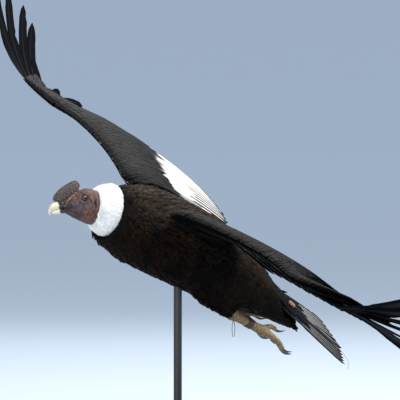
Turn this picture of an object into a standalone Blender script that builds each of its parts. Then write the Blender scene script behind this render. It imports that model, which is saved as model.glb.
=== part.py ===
# Andean condor, an adult male, as a life-size still model in banked flight on a stand.
# Metres, +Z up. The bird is modelled level in its own frame: +X is its left, -Y forward.
# One empty then tips it into its pose and lifts it over the stand, whose base is at Z 0.

import math

import bmesh
import bpy
from mathutils import Matrix, Vector
from mathutils.bvhtree import BVHTree

# Pose of the whole bird
BODY_HEIGHT = 0.58
BODY_PITCH = math.radians(22)
BODY_BANK = math.radians(20)

# Gap that touching pieces keep
GAP = 0.0003

# Torso sections: y, top z, bottom z, half width
TORSO = (
    (-0.300, 0.034, -0.078, 0.056),
    (-0.262, 0.066, -0.102, 0.090),
    (-0.200, 0.098, -0.121, 0.123),
    (-0.100, 0.116, -0.127, 0.146),
    (0.000, 0.118, -0.126, 0.148),
    (0.100, 0.112, -0.124, 0.140),
    (0.200, 0.086, -0.119, 0.122),
    (0.300, 0.050, -0.106, 0.098),
    (0.380, 0.012, -0.094, 0.072),
    (0.450, -0.040, -0.090, 0.050),
    (0.520, -0.064, -0.084, 0.028),
)
TORSO_POWER = 2.2
TORSO_RINGS = 14
TORSO_SIDES = 20

# Head: its eye line's place in the body frame, its turn to the right and its nod
HEAD_PLACE = Vector((-0.0210, -0.3510, -0.0115))
HEAD_TURN = math.radians(30)
HEAD_NOD = math.radians(13)

# Head and neck sections, in the head's frame: forward and up of the top point,
# forward and up of the bottom point, half width
HEAD = (
    (0.0620, 0.0055, 0.0610, -0.0310, 0.0125),
    (0.0500, 0.0090, 0.0560, -0.0350, 0.0165),
    (0.0330, 0.0160, 0.0470, -0.0430, 0.0230),
    (0.0150, 0.0225, 0.0370, -0.0530, 0.0290),
    (-0.0050, 0.0255, 0.0280, -0.0630, 0.0325),
    (-0.0220, 0.0230, 0.0200, -0.0720, 0.0345),
    (-0.0400, 0.0110, 0.0110, -0.0840, 0.0370),
    (-0.0540, -0.0070, -0.0030, -0.0930, 0.0400),
)
NECK = (
    (-0.0543, -0.0072, -0.0033, -0.0932, 0.0400),
    (-0.0680, -0.0260, -0.0200, -0.1010, 0.0430),
)
UPPER_BILL = (
    (0.0625, 0.0050, 0.0625, -0.0160, 0.0120),
    (0.0720, 0.0062, 0.0710, -0.0155, 0.0122),
    (0.0820, 0.0062, 0.0800, -0.0145, 0.0118),
    (0.0920, 0.0042, 0.0880, -0.0145, 0.0106),
    (0.1000, -0.0010, 0.0940, -0.0160, 0.0088),
    (0.1060, -0.0090, 0.0990, -0.0190, 0.0062),
    (0.1075, -0.0180, 0.1025, -0.0230, 0.0034),
)
UPPER_BILL_TIP = (0.1055, -0.0285)
LOWER_BILL = (
    (0.0625, -0.0170, 0.0625, -0.0305, 0.0108),
    (0.0720, -0.0162, 0.0720, -0.0295, 0.0105),
    (0.0820, -0.0152, 0.0820, -0.0278, 0.0094),
    (0.0900, -0.0155, 0.0905, -0.0262, 0.0074),
    (0.0950, -0.0180, 0.0955, -0.0245, 0.0045),
)
LOWER_BILL_TIP = (0.0980, -0.0212)
COMB = (
    (0.0835, 0.0225, 0.0830, 0.0100, 0.0036),
    (0.0730, 0.0325, 0.0740, 0.0072, 0.0052),
    (0.0580, 0.0415, 0.0620, 0.0070, 0.0062),
    (0.0420, 0.0475, 0.0480, 0.0090, 0.0065),
    (0.0270, 0.0525, 0.0340, 0.0140, 0.0062),
    (0.0130, 0.0535, 0.0200, 0.0200, 0.0055),
    (0.0040, 0.0470, 0.0090, 0.0260, 0.0040),
)
COMB_TIPS = ((0.0870, 0.0150), (0.0010, 0.0370))
HEAD_SIDES = 16
EYE_RADIUS = 0.0105
EYE_SIDE = 0.0215
LID_RADIUS = 0.0082
LID_THICKNESS = 0.0019
LID_SIDES = 10
EAR = (-0.024, -0.0226)
EAR_SIZE = Vector((0.005, 0.0032, 0.0050))
NOSTRIL = (0.0705, -0.0035)
NOSTRIL_SIZE = Vector((0.0045, 0.0048, 0.0020))
FOLD_RADIUS = 0.0030
FOLD_POINTS = 5

# Skin folds on each side of the head, each a line of forward and up places
HEAD_FOLDS = (
    ((-0.009, 0.008), (-0.018, -0.006), (-0.021, -0.030), (-0.012, -0.040)),
    ((0.058, 0.002), (0.046, -0.004), (0.028, 0.002), (0.012, 0.012)),
    ((0.052, -0.028), (0.042, -0.036), (0.030, -0.044), (0.018, -0.050)),
)
MOUTH = ((0.0520, -0.0170), (0.0400, -0.0200), (0.0300, -0.0240))
MOUTH_RADIUS = 0.0011

# Ruff: place and axis of its rear ring, its length and greatest radius, and the shares
# of them along its outline
RUFF_PLACE = Vector((0.0, -0.262, -0.012))
RUFF_AXIS = Vector((-0.063, -0.983, -0.18)).normalized()
RUFF_LENGTH = 0.064
RUFF_RADIUS = 0.078
RUFF_OUTLINE = ((-0.02, 0.86), (0.10, 1.0), (0.35, 1.02), (0.65, 0.93), (0.9, 0.80), (1.0, 0.66))
RUFF_CORE = (0.80, 0.90)
RUFF_LOCK_ROWS = (0.02, 0.30, 0.58)
RUFF_LOCK_LENGTH = 0.40
RUFF_LOCKS = 10
RUFF_LOCK_WIDTH = 0.043
RUFF_LOCK_THICKNESS = 0.008
RUFF_LOCK_SHARES = ((0.0, 0.8), (0.62, 1.0))
RUFF_CLEARANCE = 0.0095

# Wings: the shoulder's place, the slope of the arm, and stations along the leading edge:
# outward, back, up, chord, thickness
SHOULDER = Vector((0.128, -0.170, 0.078))
DIHEDRAL = {1: math.radians(3.5), -1: math.radians(6.5)}
INCIDENCE = {1: math.radians(5), -1: math.radians(0.5)}
WING = (
    (-0.035, 0.030, -0.010, 0.430, 0.060),
    (0.030, 0.002, -0.002, 0.460, 0.058),
    (0.110, 0.010, 0.006, 0.475, 0.050),
    (0.220, 0.026, 0.012, 0.480, 0.044),
    (0.340, 0.034, 0.014, 0.482, 0.040),
    (0.460, 0.034, 0.011, 0.480, 0.036),
    (0.560, 0.028, 0.000, 0.476, 0.034),
    (0.620, 0.030, -0.006, 0.470, 0.032),
    (0.700, 0.040, -0.012, 0.470, 0.026),
    (0.780, 0.050, -0.016, 0.470, 0.018),
    (0.830, 0.056, -0.017, 0.470, 0.010),
)
CAMBER = 0.055
ARM_CORE = 0.50
HAND_CORE = 0.16
HAND_START = 0.52
WRIST = 0.60
HAND_END = 0.82
CORE_TIP_BACK = 0.03
FLEX_START = 0.85
FLEX_REACH = 0.50
FLEX_POWER = 2.2
HAND_RISE = {1: 0.06, -1: 0.10}
HAND_DROOP = {1: 0.0, -1: 0.02}
HAND_LIFT = {1: 0.036, -1: 0.0}

# Feathers: share of the length and of the width along a vane's outline
BROAD_VANE = ((0.0, 0.86), (0.45, 1.0), (0.90, 0.72))
FINGER_VANE = ((0.0, 0.70), (0.25, 1.0), (0.46, 0.98), (0.62, 0.62), (0.88, 0.50))
COVERT_VANE = ((0.0, 0.78), (0.44, 0.98), (0.82, 0.72))
VANE_THICKNESS = 0.0012
VANE_TILT = 0.046

SECONDARIES = 16
SECONDARY_ROOT = 0.36
INNER_SHORTENING = 0.16
SECONDARY_WIDTH = 0.061
INNERMOST_SECONDARY = 0.034
OUTERMOST_SECONDARY = 0.598
# Primaries, from the innermost: sweep back from the span in degrees, length, and how
# far the tip bends up past the wing's own surface on the left and the right wing
PRIMARIES = (
    (78, 0.42, 0.000, 0.000),
    (66, 0.44, 0.000, 0.000),
    (54, 0.46, -0.004, -0.004),
    (44, 0.49, -0.010, -0.022),
    (36, 0.52, -0.016, -0.050),
    (22, 0.55, -0.010, -0.036),
    (20, 0.58, 0.045, 0.018),
    (16, 0.59, 0.105, 0.030),
    (9, 0.57, 0.165, 0.045),
    (2, 0.52, 0.215, 0.060),
)
LIFT_POWER = 1.25
PRIMARY_ROOTS = (0.615, 0.800)
PRIMARY_BACK = 0.016
PRIMARY_SPREAD = 0.030
PRIMARY_WIDTH = 0.062
PRIMARY_TILT = 0.070

# Tiers of coverts on the arm: number, root and tip as shares of the chord, width,
# height over the core at the root, half way and at the tip, and the face that they lie on
ARM_COVERTS = (
    (9, 0.22, 0.62, 0.074, (-0.0050, 0.0032, 0.0040), 1),
    (6, 0.09, 0.36, 0.105, (-0.0045, 0.0032, 0.0086), 1),
    (6, 0.20, 0.58, 0.104, (-0.0050, 0.0034, 0.0048), -1),
)
PRIMARY_COVERTS = (1, 2, 3, 4, 5, 6)
PRIMARY_COVERT_LENGTH = 0.165
PRIMARY_COVERT_WIDTH = 0.036
PRIMARY_COVERT_HEIGHT = 0.0062

# Tail: the root's place, its droop and roll, and the sizes of its fan
TAIL_PLACE = Vector((0.0, 0.395, -0.008))
TAIL_DROOP = math.radians(10.5)
TAIL_ROLL = math.radians(18)
TAIL_LENGTH = 0.330
TAIL_FAN = math.radians(14)
TAIL_PAIRS = 6
TAIL_WIDTH = 0.050
TAIL_ROOT_STEP = 0.0080
TAIL_CORE = ((-0.035, 0.034, 0.022), (0.015, 0.038, 0.019), (0.060, 0.042, 0.010), (0.095, 0.040, 0.004))
TAIL_COVERTS = 2
TAIL_COVERT_STEP = math.radians(6.5)
TAIL_COVERT_WIDTH = 0.044

# Legs, trailing back under the tail: heel, toe root and thigh top of the left one
HEEL = Vector((0.065, 0.252, -0.116))
TOE_ROOT = Vector((0.062, 0.385, -0.121))
THIGH_TOP = Vector((0.085, 0.060, -0.060))
THIGH = ((-0.28, 0.030), (0.0, 0.052), (0.3, 0.052), (0.6, 0.040), (0.85, 0.028), (1.0, 0.019))
THIGH_FLATNESS = 0.85
SHANK = ((-0.10, 0.0130), (0.02, 0.0170), (0.14, 0.0135), (0.5, 0.0115), (0.86, 0.0130), (1.0, 0.0165))
# Toes: radius, and the points of each from the toe root
TOES = {
    "middle": (0.0092, ((0.0, 0.004, 0.0), (0.002, 0.038, -0.003), (0.003, 0.072, -0.012), (0.003, 0.100, -0.027))),
    "outer": (0.0080, ((0.010, 0.004, 0.0), (0.018, 0.032, -0.002), (0.024, 0.058, -0.009), (0.027, 0.079, -0.020))),
    "inner": (0.0082, ((-0.010, 0.004, 0.0), (-0.018, 0.032, -0.001), (-0.023, 0.056, -0.007), (-0.025, 0.073, -0.016))),
    "hind": (0.0070, ((-0.004, 0.004, 0.010), (-0.008, 0.024, 0.020), (-0.009, 0.040, 0.021), (-0.009, 0.050, 0.018))),
}
TOE_TAPER = (1.25, 1.0, 0.92, 0.72)
PALM_RADIUS = 0.0165
CLAW_LENGTH = 3.6

# What it wears: leather anklets, a wire loop on the left leg, a tail transmitter
ANKLET_SHARE = 0.55
ANKLET_WIDTH = 0.020
ANKLET_RADII = (0.0127, 0.0152)
WIRE_SHARE = 0.12
WIRE_RADIUS = 0.0009
WIRE_RING = 0.0156
WIRE_DROP = 0.046
WIRE_WIDTH = 0.0085
WIRE_TURNS = 12
TRANSMITTER_PLACE = Vector((0.036, 0.055, 0.0165))
TRANSMITTER_SIZE = Vector((0.012, 0.024, 0.008))
ANTENNA_RADIUS = 0.0006

# Stand
BASE_PLACE = Vector((0.0, 0.0))
BASE_RADIUS = 0.300
BASE_HEIGHT = 0.030
BASE_BEVEL = 0.006
BASE_SIDES = 40
ROD_RADIUS = 0.012

COLOURS = {
    "black_plumage": ((0.012, 0.012, 0.014), 0.65, 0.0),
    "white_ruff": ((0.86, 0.85, 0.80), 0.85, 0.0),
    "head_skin": ((0.20, 0.10, 0.08), 0.6, 0.0),
    "comb_skin": ((0.075, 0.062, 0.055), 0.7, 0.0),
    "ivory_bill": ((0.72, 0.66, 0.48), 0.35, 0.0),
    "eye": ((0.03, 0.012, 0.008), 0.08, 0.0),
    "leg_skin": ((0.48, 0.39, 0.24), 0.65, 0.0),
    "claw": ((0.035, 0.035, 0.038), 0.35, 0.0),
    "leather": ((0.020, 0.014, 0.010), 0.6, 0.0),
    "wire": ((0.20, 0.21, 0.22), 0.35, 1.0),
    "transmitter": ((0.30, 0.16, 0.09), 0.5, 0.0),
    "stand": ((0.030, 0.031, 0.033), 0.45, 0.2),
}


def clear_scene():
    for obj in list(bpy.data.objects):
        bpy.data.objects.remove(obj)


def material(name):
    found = bpy.data.materials.get(name)
    if found:
        return found
    colour, roughness, metallic = COLOURS[name]
    made = bpy.data.materials.new(name)
    made.use_nodes = True
    shader = made.node_tree.nodes["Principled BSDF"]
    shader.inputs["Base Color"].default_value = (*colour, 1.0)
    shader.inputs["Roughness"].default_value = roughness
    shader.inputs["Metallic"].default_value = metallic
    return made


def smooth(table, x):
    """The other columns of a table at x, on a smooth curve through its rows."""
    xs = [row[0] for row in table]
    if x <= xs[0]:
        return list(table[0][1:])
    if x >= xs[-1]:
        return list(table[-1][1:])
    i = max(k for k in range(len(xs) - 1) if xs[k] <= x)
    step = xs[i + 1] - xs[i]
    t = (x - xs[i]) / step
    values = []
    for column in range(1, len(table[0])):
        ys = [row[column] for row in table]
        slopes = []
        for k in (i, i + 1):
            low, high = max(k - 1, 0), min(k + 1, len(xs) - 1)
            slopes.append((ys[high] - ys[low]) / (xs[high] - xs[low]) * step)
        values.append(
            (2 * t**3 - 3 * t**2 + 1) * ys[i]
            + (t**3 - 2 * t**2 + t) * slopes[0]
            + (3 * t**2 - 2 * t**3) * ys[i + 1]
            + (t**3 - t**2) * slopes[1]
        )
    return values


def between(sections, steps):
    """Sections on a smooth curve through the given ones, steps to each stretch."""
    table = [(i, *row) for i, row in enumerate(sections)]
    total = (len(sections) - 1) * steps
    return [smooth(table, i / steps) for i in range(total + 1)]


def oval(top, bottom, side, half_width, count, power=2.0):
    """A ring of points round the middle of two points, rounded off as a superellipse."""
    middle = (top + bottom) / 2
    up = (top - bottom) / 2
    ring = []
    for k in range(count):
        angle = 2 * math.pi * (k + 0.5) / count
        c, s = math.cos(angle), math.sin(angle)
        across = math.copysign(abs(c) ** (2 / power), c) * half_width
        rise = math.copysign(abs(s) ** (2 / power), s)
        ring.append(middle + side * across + up * rise)
    return ring


def join_rings(shape, rows, closed=False):
    """Faces between rows of equally many corners, round each row."""
    pairs = list(zip(rows, rows[1:]))
    if closed:
        pairs.append((rows[-1], rows[0]))
    for low, high in pairs:
        for k in range(len(low)):
            after = (k + 1) % len(low)
            shape.faces.new((low[k], low[after], high[after], high[k]))


def solid_of_rings(rings, first_tip=None, last_tip=None):
    """A closed mesh through equal rings, each end drawn to a tip or capped flat."""
    shape = bmesh.new()
    rows = [[shape.verts.new(point) for point in ring] for ring in rings]
    join_rings(shape, rows)
    for row, tip in ((rows[0], first_tip), (rows[-1], last_tip)):
        if tip is None:
            shape.faces.new(row)
            continue
        end = shape.verts.new(tip)
        for k in range(len(row)):
            shape.faces.new((row[k], row[(k + 1) % len(row)], end))
    bmesh.ops.recalc_face_normals(shape, faces=shape.faces)
    return shape


def loop_of_rings(rings):
    """A closed mesh through equal rings whose last meets its first."""
    shape = bmesh.new()
    rows = [[shape.verts.new(point) for point in ring] for ring in rings]
    join_rings(shape, rows, closed=True)
    bmesh.ops.recalc_face_normals(shape, faces=shape.faces)
    return shape


def add_object(name, shape, finish=None):
    """An object of triangles from a bmesh, smooth but for its sharp edges."""
    bmesh.ops.triangulate(shape, faces=shape.faces)
    mesh = bpy.data.meshes.new(name)
    shape.to_mesh(mesh)
    shape.free()
    mesh.shade_smooth()
    mesh.set_sharp_from_angle(angle=math.radians(40))
    obj = bpy.data.objects.new(name, mesh)
    bpy.context.scene.collection.objects.link(obj)
    if finish:
        mesh.materials.append(material(finish))
    return obj


def add_rings(name, rings, finish=None, first_tip=None, last_tip=None):
    return add_object(name, solid_of_rings(rings, first_tip, last_tip), finish)


def tube_rings(points, radii, count):
    """Rings along a bent line, carried along without twisting."""
    rings = []
    side = None
    for i, point in enumerate(points):
        ahead = points[min(i + 1, len(points) - 1)] - points[max(i - 1, 0)]
        ahead.normalize()
        if side is None:
            side = ahead.orthogonal().normalized()
        side = (side - ahead * side.dot(ahead)).normalized()
        up = ahead.cross(side)
        ring = []
        for k in range(count):
            angle = 2 * math.pi * k / count
            ring.append(point + (side * math.cos(angle) + up * math.sin(angle)) * radii[i])
        rings.append(ring)
    return rings


def add_tube(name, points, radii, count, finish=None, round_ends=True):
    points = [Vector(point) for point in points]
    tips = [None, None]
    if round_ends:
        first = (points[0] - points[1]).normalized()
        last = (points[-1] - points[-2]).normalized()
        tips = [points[0] + first * radii[0] * 0.6, points[-1] + last * radii[-1] * 0.6]
    return add_rings(name, tube_rings(points, radii, count), finish, tips[0], tips[1])


def add_ball(name, place, size, count, finish=None, turn=None):
    """A ball, or an egg shape where the size is three radii, turned to a frame."""
    shape = bmesh.new()
    bmesh.ops.create_uvsphere(shape, u_segments=count, v_segments=count // 2 + 1, radius=1)
    radii = size if isinstance(size, Vector) else Vector((size, size, size))
    bmesh.ops.scale(shape, verts=shape.verts, vec=radii)
    if turn:
        bmesh.ops.rotate(shape, verts=shape.verts, matrix=turn)
    bmesh.ops.translate(shape, verts=shape.verts, vec=place)
    return add_object(name, shape, finish)


def apply_modifiers(obj):
    bpy.context.view_layer.update()
    graph = bpy.context.evaluated_depsgraph_get()
    made = bpy.data.meshes.new_from_object(obj.evaluated_get(graph))
    obj.modifiers.clear()
    old = obj.data
    obj.data = made
    made.name = obj.name
    bpy.data.meshes.remove(old)


def keep_largest(obj):
    """Drops all but the largest closed surface of a mesh."""
    shape = bmesh.new()
    shape.from_mesh(obj.data)
    left = set(shape.verts)
    islands = []
    while left:
        found = [left.pop()]
        for vert in found:
            for edge in vert.link_edges:
                other = edge.other_vert(vert)
                if other in left:
                    left.remove(other)
                    found.append(other)
        islands.append(found)
    islands.sort(key=len)
    for island in islands[:-1]:
        bmesh.ops.delete(shape, geom=island, context="VERTS")
    shape.to_mesh(obj.data)
    shape.free()


def boolean(obj, others, operation):
    """Joins objects to a mesh, or cuts them from it, and removes them."""
    group = bpy.data.collections.new("pieces")
    bpy.context.scene.collection.children.link(group)
    for other in others:
        for owner in list(other.users_collection):
            owner.objects.unlink(other)
        group.objects.link(other)
    modifier = obj.modifiers.new("Boolean", "BOOLEAN")
    modifier.operation = operation
    modifier.operand_type = "COLLECTION"
    modifier.collection = group
    apply_modifiers(obj)
    for other in others:
        mesh = other.data
        bpy.data.objects.remove(other)
        if not mesh.users:
            bpy.data.meshes.remove(mesh)
    bpy.data.collections.remove(group)
    keep_largest(obj)
    obj.data.shade_smooth()
    obj.data.set_sharp_from_angle(angle=math.radians(40))
    return obj


def swollen(obj, gap=GAP):
    """A copy of an object with its surface moved out, to cut what must stay clear of it."""
    copy = bpy.data.objects.new(obj.name + "_cutter", obj.data.copy())
    bpy.context.scene.collection.objects.link(copy)
    copy.hide_render = True
    copy.display_type = "WIRE"
    shape = bmesh.new()
    shape.from_mesh(copy.data)
    shape.normal_update()
    moves = [vert.normal * gap for vert in shape.verts]
    for vert, move in zip(shape.verts, moves):
        vert.co += move
    shape.to_mesh(copy.data)
    shape.free()
    return copy


def cut_clear(obj, *neighbours):
    for other in neighbours:
        boolean(obj, [swollen(other)], "DIFFERENCE")
    return obj


def pose_matrix():
    pitch = Matrix.Rotation(-BODY_PITCH, 4, "X")
    bank = Matrix.Rotation(BODY_BANK, 4, "Y")
    return Matrix.Translation((0, 0, BODY_HEIGHT)) @ pitch @ bank


def mirrored(point, sign):
    return Vector((sign * point[0], point[1], point[2]))


def make_torso():
    rings = []
    side = Vector((1, 0, 0))
    for i in range(TORSO_RINGS + 1):
        y = TORSO[0][0] + (TORSO[-1][0] - TORSO[0][0]) * i / TORSO_RINGS
        top, bottom, half_width = smooth(TORSO, y)
        ends = Vector((0, y, top)), Vector((0, y, bottom))
        rings.append(oval(*ends, side, half_width, TORSO_SIDES, TORSO_POWER))
    return add_rings("torso", rings, "black_plumage")


def head_frame():
    """Places points of the head's frame in the body frame: the head keeps level in the air."""
    level = Matrix.Rotation(-HEAD_TURN, 3, "Z") @ Matrix.Rotation(HEAD_NOD, 3, "X")
    turn = pose_matrix().to_3x3().inverted() @ level
    return Matrix.Translation(HEAD_PLACE) @ turn.to_4x4()


def head_point(side, forward, up):
    return head_frame() @ Vector((side, -forward, up))


def head_rings(sections, count, power=2.0):
    side = head_frame().to_3x3() @ Vector((1, 0, 0))
    rings = []
    for top_forward, top_up, bottom_forward, bottom_up, half_width in sections:
        top = head_point(0, top_forward, top_up)
        bottom = head_point(0, bottom_forward, bottom_up)
        rings.append(oval(top, bottom, side, half_width, count, power))
    return rings


def skin_point(tree, sign, forward, up):
    """Where a line from one side of the head meets its skin."""
    inward = head_frame().to_3x3() @ Vector((-sign, 0, 0))
    return tree.ray_cast(head_point(sign * 0.2, forward, up), inward)[0]


def skin_tree(obj):
    shape = bmesh.new()
    shape.from_mesh(obj.data)
    tree = BVHTree.FromBMesh(shape)
    shape.free()
    return tree


def add_folds(obj, folds):
    """Raises folds of skin along lines on both sides of the head or neck."""
    tree = skin_tree(obj)
    table = [[(i, *place) for i, place in enumerate(fold)] for fold in folds]
    pieces = []
    for sign in (-1, 1):
        for rows in table:
            steps = FOLD_POINTS - 1
            places = [smooth(rows, (len(rows) - 1) * i / steps) for i in range(FOLD_POINTS)]
            points = [skin_point(tree, sign, *place) for place in places]
            radii = [FOLD_RADIUS * (1.05 - 0.6 * abs(2 * i / steps - 1)) for i in range(FOLD_POINTS)]
            pieces.append(add_tube("fold", points, radii, 4))
    return boolean(obj, pieces, "UNION")


def make_head_form(name="head_form"):
    return add_rings(name, head_rings(between(HEAD, 2), HEAD_SIDES, 2.1), "head_skin")


def make_head():
    head = make_head_form("head")
    tree = skin_tree(head)
    turn = head_frame().to_3x3()
    lids, cuts = [], []
    for sign in (-1, 1):
        rim = skin_point(tree, sign, 0, 0)
        ring = []
        out = turn @ Vector((sign, 0, 0))
        for k in range(LID_SIDES):
            angle = 2 * math.pi * k / LID_SIDES
            away = turn @ Vector((0, math.cos(angle), math.sin(angle)))
            corners = ((1, 0), (0, 1), (-1, 0), (0, -1))
            ring.append([
                rim + away * (LID_RADIUS + a * LID_THICKNESS) + out * (b * LID_THICKNESS) for a, b in corners
            ])
        lids.append(add_object("lid", loop_of_rings(ring)))
        cuts.append(add_ball("socket", head_point(sign * EYE_SIDE, 0, 0), EYE_RADIUS + GAP, 12))
        cuts.append(add_ball("ear", skin_point(tree, sign, *EAR), EAR_SIZE, 8, turn=turn))
        mouth = [skin_point(tree, sign, *place) for place in MOUTH]
        mouth.insert(0, mouth[0] + (mouth[0] - mouth[1]) * 1.2)
        cuts.append(add_tube("mouth", mouth, [MOUTH_RADIUS] * len(mouth), 4))
    boolean(head, lids, "UNION")
    add_folds(head, HEAD_FOLDS)
    return boolean(head, cuts, "DIFFERENCE")


def make_eyes():
    eyes = []
    for name, sign in (("eye_left", 1), ("eye_right", -1)):
        eyes.append(add_ball(name, head_point(sign * EYE_SIDE, 0, 0), EYE_RADIUS, 12, "eye"))
    return eyes


def make_bill():
    upper = add_rings(
        "bill_upper", head_rings(UPPER_BILL, 12, 2.2), "ivory_bill",
        last_tip=head_point(0, *UPPER_BILL_TIP),
    )
    tree = skin_tree(upper)
    turn = head_frame().to_3x3()
    slots = []
    for sign in (-1, 1):
        slots.append(add_ball("nostril", skin_point(tree, sign, *NOSTRIL), NOSTRIL_SIZE, 8, turn=turn))
    boolean(upper, slots, "DIFFERENCE")
    lower = add_rings(
        "bill_lower", head_rings(LOWER_BILL, 12, 2.2), "ivory_bill",
        last_tip=head_point(0, *LOWER_BILL_TIP),
    )
    return upper, lower


def make_comb():
    tips = [head_point(0, *tip) for tip in COMB_TIPS]
    return add_rings("comb", head_rings(between(COMB, 1), 10, 2.4), "comb_skin", *tips)


def make_neck():
    rings = head_rings(between(NECK, 2), HEAD_SIDES, 2.1)
    base = RUFF_PLACE + Vector((0, 0.004, 0))
    ends = base + Vector((0, 0, 0.046)), base - Vector((0, 0, 0.050))
    rings.append(oval(*ends, Vector((1, 0, 0)), 0.046, HEAD_SIDES))
    return add_rings("neck", rings, "head_skin")


def add_vane(place, width, outline, lead, up, thickness=VANE_THICKNESS):
    """A feather's vane or a flat lock, ridged along its middle, split alike on both faces."""
    shape = bmesh.new()
    rows = []
    for share, wide in outline:
        half = thickness / 2 * (1 - 0.4 * share)
        corners = (
            place(share, -width * wide * (1 - lead)),
            place(share, 0) + up * half,
            place(share, width * wide * lead),
            place(share, 0) - up * half,
        )
        rows.append([shape.verts.new(corner) for corner in corners])
    tip = shape.verts.new(place(1, 0))
    for edge in (0, 2):
        for ridge in (1, 3):
            for low, high in zip(rows, rows[1:]):
                shape.faces.new((low[edge], low[ridge], high[ridge]))
                shape.faces.new((low[edge], high[ridge], high[edge]))
            shape.faces.new((rows[-1][edge], rows[-1][ridge], tip))
    shape.faces.new(rows[0])
    bmesh.ops.recalc_face_normals(shape, faces=shape.faces)
    return add_object("vane", shape)


def ruff_frame():
    side = RUFF_AXIS.cross(Vector((0, 0, 1))).normalized()
    return side, side.cross(RUFF_AXIS)


def ruff_point(along, angle, radius):
    side, up = ruff_frame()
    out = side * math.cos(angle) + up * math.sin(angle)
    return RUFF_PLACE + RUFF_AXIS * (RUFF_LENGTH * along) + out * radius


def ruff_rings(stations, sides=20):
    rings = []
    for along, radius in stations:
        rings.append([ruff_point(along, 2 * math.pi * k / sides, radius) for k in range(sides)])
    return rings


def make_ruff_socket():
    """The space in the chest's plumage that the ruff sits in."""
    outline = ((0.0, 0.90),) + RUFF_OUTLINE[1:] + ((1.4, 0.60),)
    stations = [(along - GAP / RUFF_LENGTH, share * RUFF_RADIUS + 0.0015) for along, share in outline]
    return add_rings("ruff_socket", ruff_rings(stations))


def make_ruff(neck, form):
    """A collar round the neck, and rows of locks rooted in it that keep off the bare skin."""
    rear, front = RUFF_CORE
    stations = []
    for along, share in ((0.0, 0.86),) + RUFF_OUTLINE[1:]:
        stations.append((along, share * (rear + (front - rear) * along) * RUFF_RADIUS))
    core = cut_clear(add_rings("ruff", ruff_rings(stations), "white_ruff"), neck)
    boolean(core, [swollen(form, 1.5 * FOLD_RADIUS)], "DIFFERENCE")
    trees = [skin_tree(neck), skin_tree(form)]

    def clear_radius(along, angle):
        """How far out from the ruff's axis the bare skin reaches."""
        start, axis = ruff_point(along, angle, 0.2), ruff_point(along, angle, 0)
        hits = [tree.ray_cast(start, axis - start, 0.2) for tree in trees]
        return max([0.2 - hit[3] for hit in hits if hit[0]], default=0)

    side, up = ruff_frame()
    locks = []
    for row, end in enumerate(RUFF_LOCK_ROWS):
        for k in range(RUFF_LOCKS):
            turn = 2 * math.pi * (k + 0.5 * (row % 2)) / RUFF_LOCKS
            out = side * math.cos(turn) + up * math.sin(turn)

            def place(share, across, turn=turn, end=end):
                along = end + min(RUFF_LOCK_LENGTH, 0.88 - end) * (1 - share)
                reach = smooth(RUFF_OUTLINE, along)[0] * RUFF_RADIUS * (0.70 + 0.31 * share**0.7)
                angle = turn + across / reach
                return ruff_point(along, angle, max(reach, clear_radius(along, angle) + RUFF_CLEARANCE))

            locks.append(add_vane(place, RUFF_LOCK_WIDTH, RUFF_LOCK_SHARES, 0.5, out, RUFF_LOCK_THICKNESS))
    return boolean(core, locks, "UNION")


def wing_point(sign, out, back, up):
    """A point of the wing's own plane, in the body frame."""
    slope = DIHEDRAL[sign]
    x = SHOULDER.x + out * math.cos(slope) - up * math.sin(slope)
    z = SHOULDER.z + out * math.sin(slope) + up * math.cos(slope)
    return Vector((sign * x, SHOULDER.y + back, z))


def wing_up(sign):
    slope = DIHEDRAL[sign]
    return Vector((-sign * math.sin(slope), 0, math.cos(slope)))


def wing_height(sign, out, back):
    """Height of the wing's middle surface: its camber, incidence and upward flex."""
    edge_back, edge_up, chord, _ = smooth(WING, out)
    share = (back - edge_back) / chord
    hand = min(max((out - WRIST) / (HAND_END - WRIST), 0), 1)
    camber = CAMBER * chord * 4 * share * (1 - share) * (1 - 0.6 * hand)
    slope = math.sin(INCIDENCE[sign]) * chord + HAND_DROOP[sign] * hand
    flex = max(0, (out - FLEX_START) / FLEX_REACH) ** FLEX_POWER
    return edge_up + camber - slope * share + HAND_RISE[sign] * flex + HAND_LIFT[sign] * hand * (1 - share)


def core_share(out):
    """How much of the chord the wing's solid core takes up."""
    hand = min(max((out - HAND_START) / (WRIST - HAND_START), 0), 1)
    return ARM_CORE + (HAND_CORE - ARM_CORE) * hand


def core_half(out, share, face):
    """Half thickness of the core on its upper or lower face."""
    thick = smooth(WING, out)[3]
    reach = core_share(out) * 1.12
    body = 2.6 * thick * math.sqrt(share / reach * 0.56) * max(0, 1 - share / reach) ** 1.2
    return body * (0.58 if face > 0 else 0.42)


def make_wing_core(name, sign):
    rings = []
    faces = [(q, 1) for q in (0.0, 0.04, 0.14, 0.32, 0.60, 1.0)] + [(q, -1) for q in (0.97, 0.60, 0.30, 0.10)]
    for out, back, _, chord, _ in WING[:-1]:
        ring = []
        for part, face in faces:
            share = part * core_share(out)
            middle = wing_height(sign, out, back + share * chord)
            half = core_half(out, share, face)
            ring.append(wing_point(sign, out, back + share * chord, middle + face * half))
        rings.append(ring)
    out, back, up = WING[-1][:3]
    tip = wing_point(sign, out, back + CORE_TIP_BACK, up)
    return add_rings(name, rings, "black_plumage", last_tip=tip)


def feather_place(sign, root, sweep, length, height):
    """Places a feather's points: share along its shaft and offset towards the wing tip."""
    ahead = Vector((math.cos(sweep), math.sin(sweep)))
    outer = Vector((math.sin(sweep), -math.cos(sweep)))

    def place(share, across):
        middle = Vector(root) + ahead * (length * share)
        spot = middle + outer * across
        return wing_point(sign, spot.x, spot.y, height(share, across, spot, middle))

    return place


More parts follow.
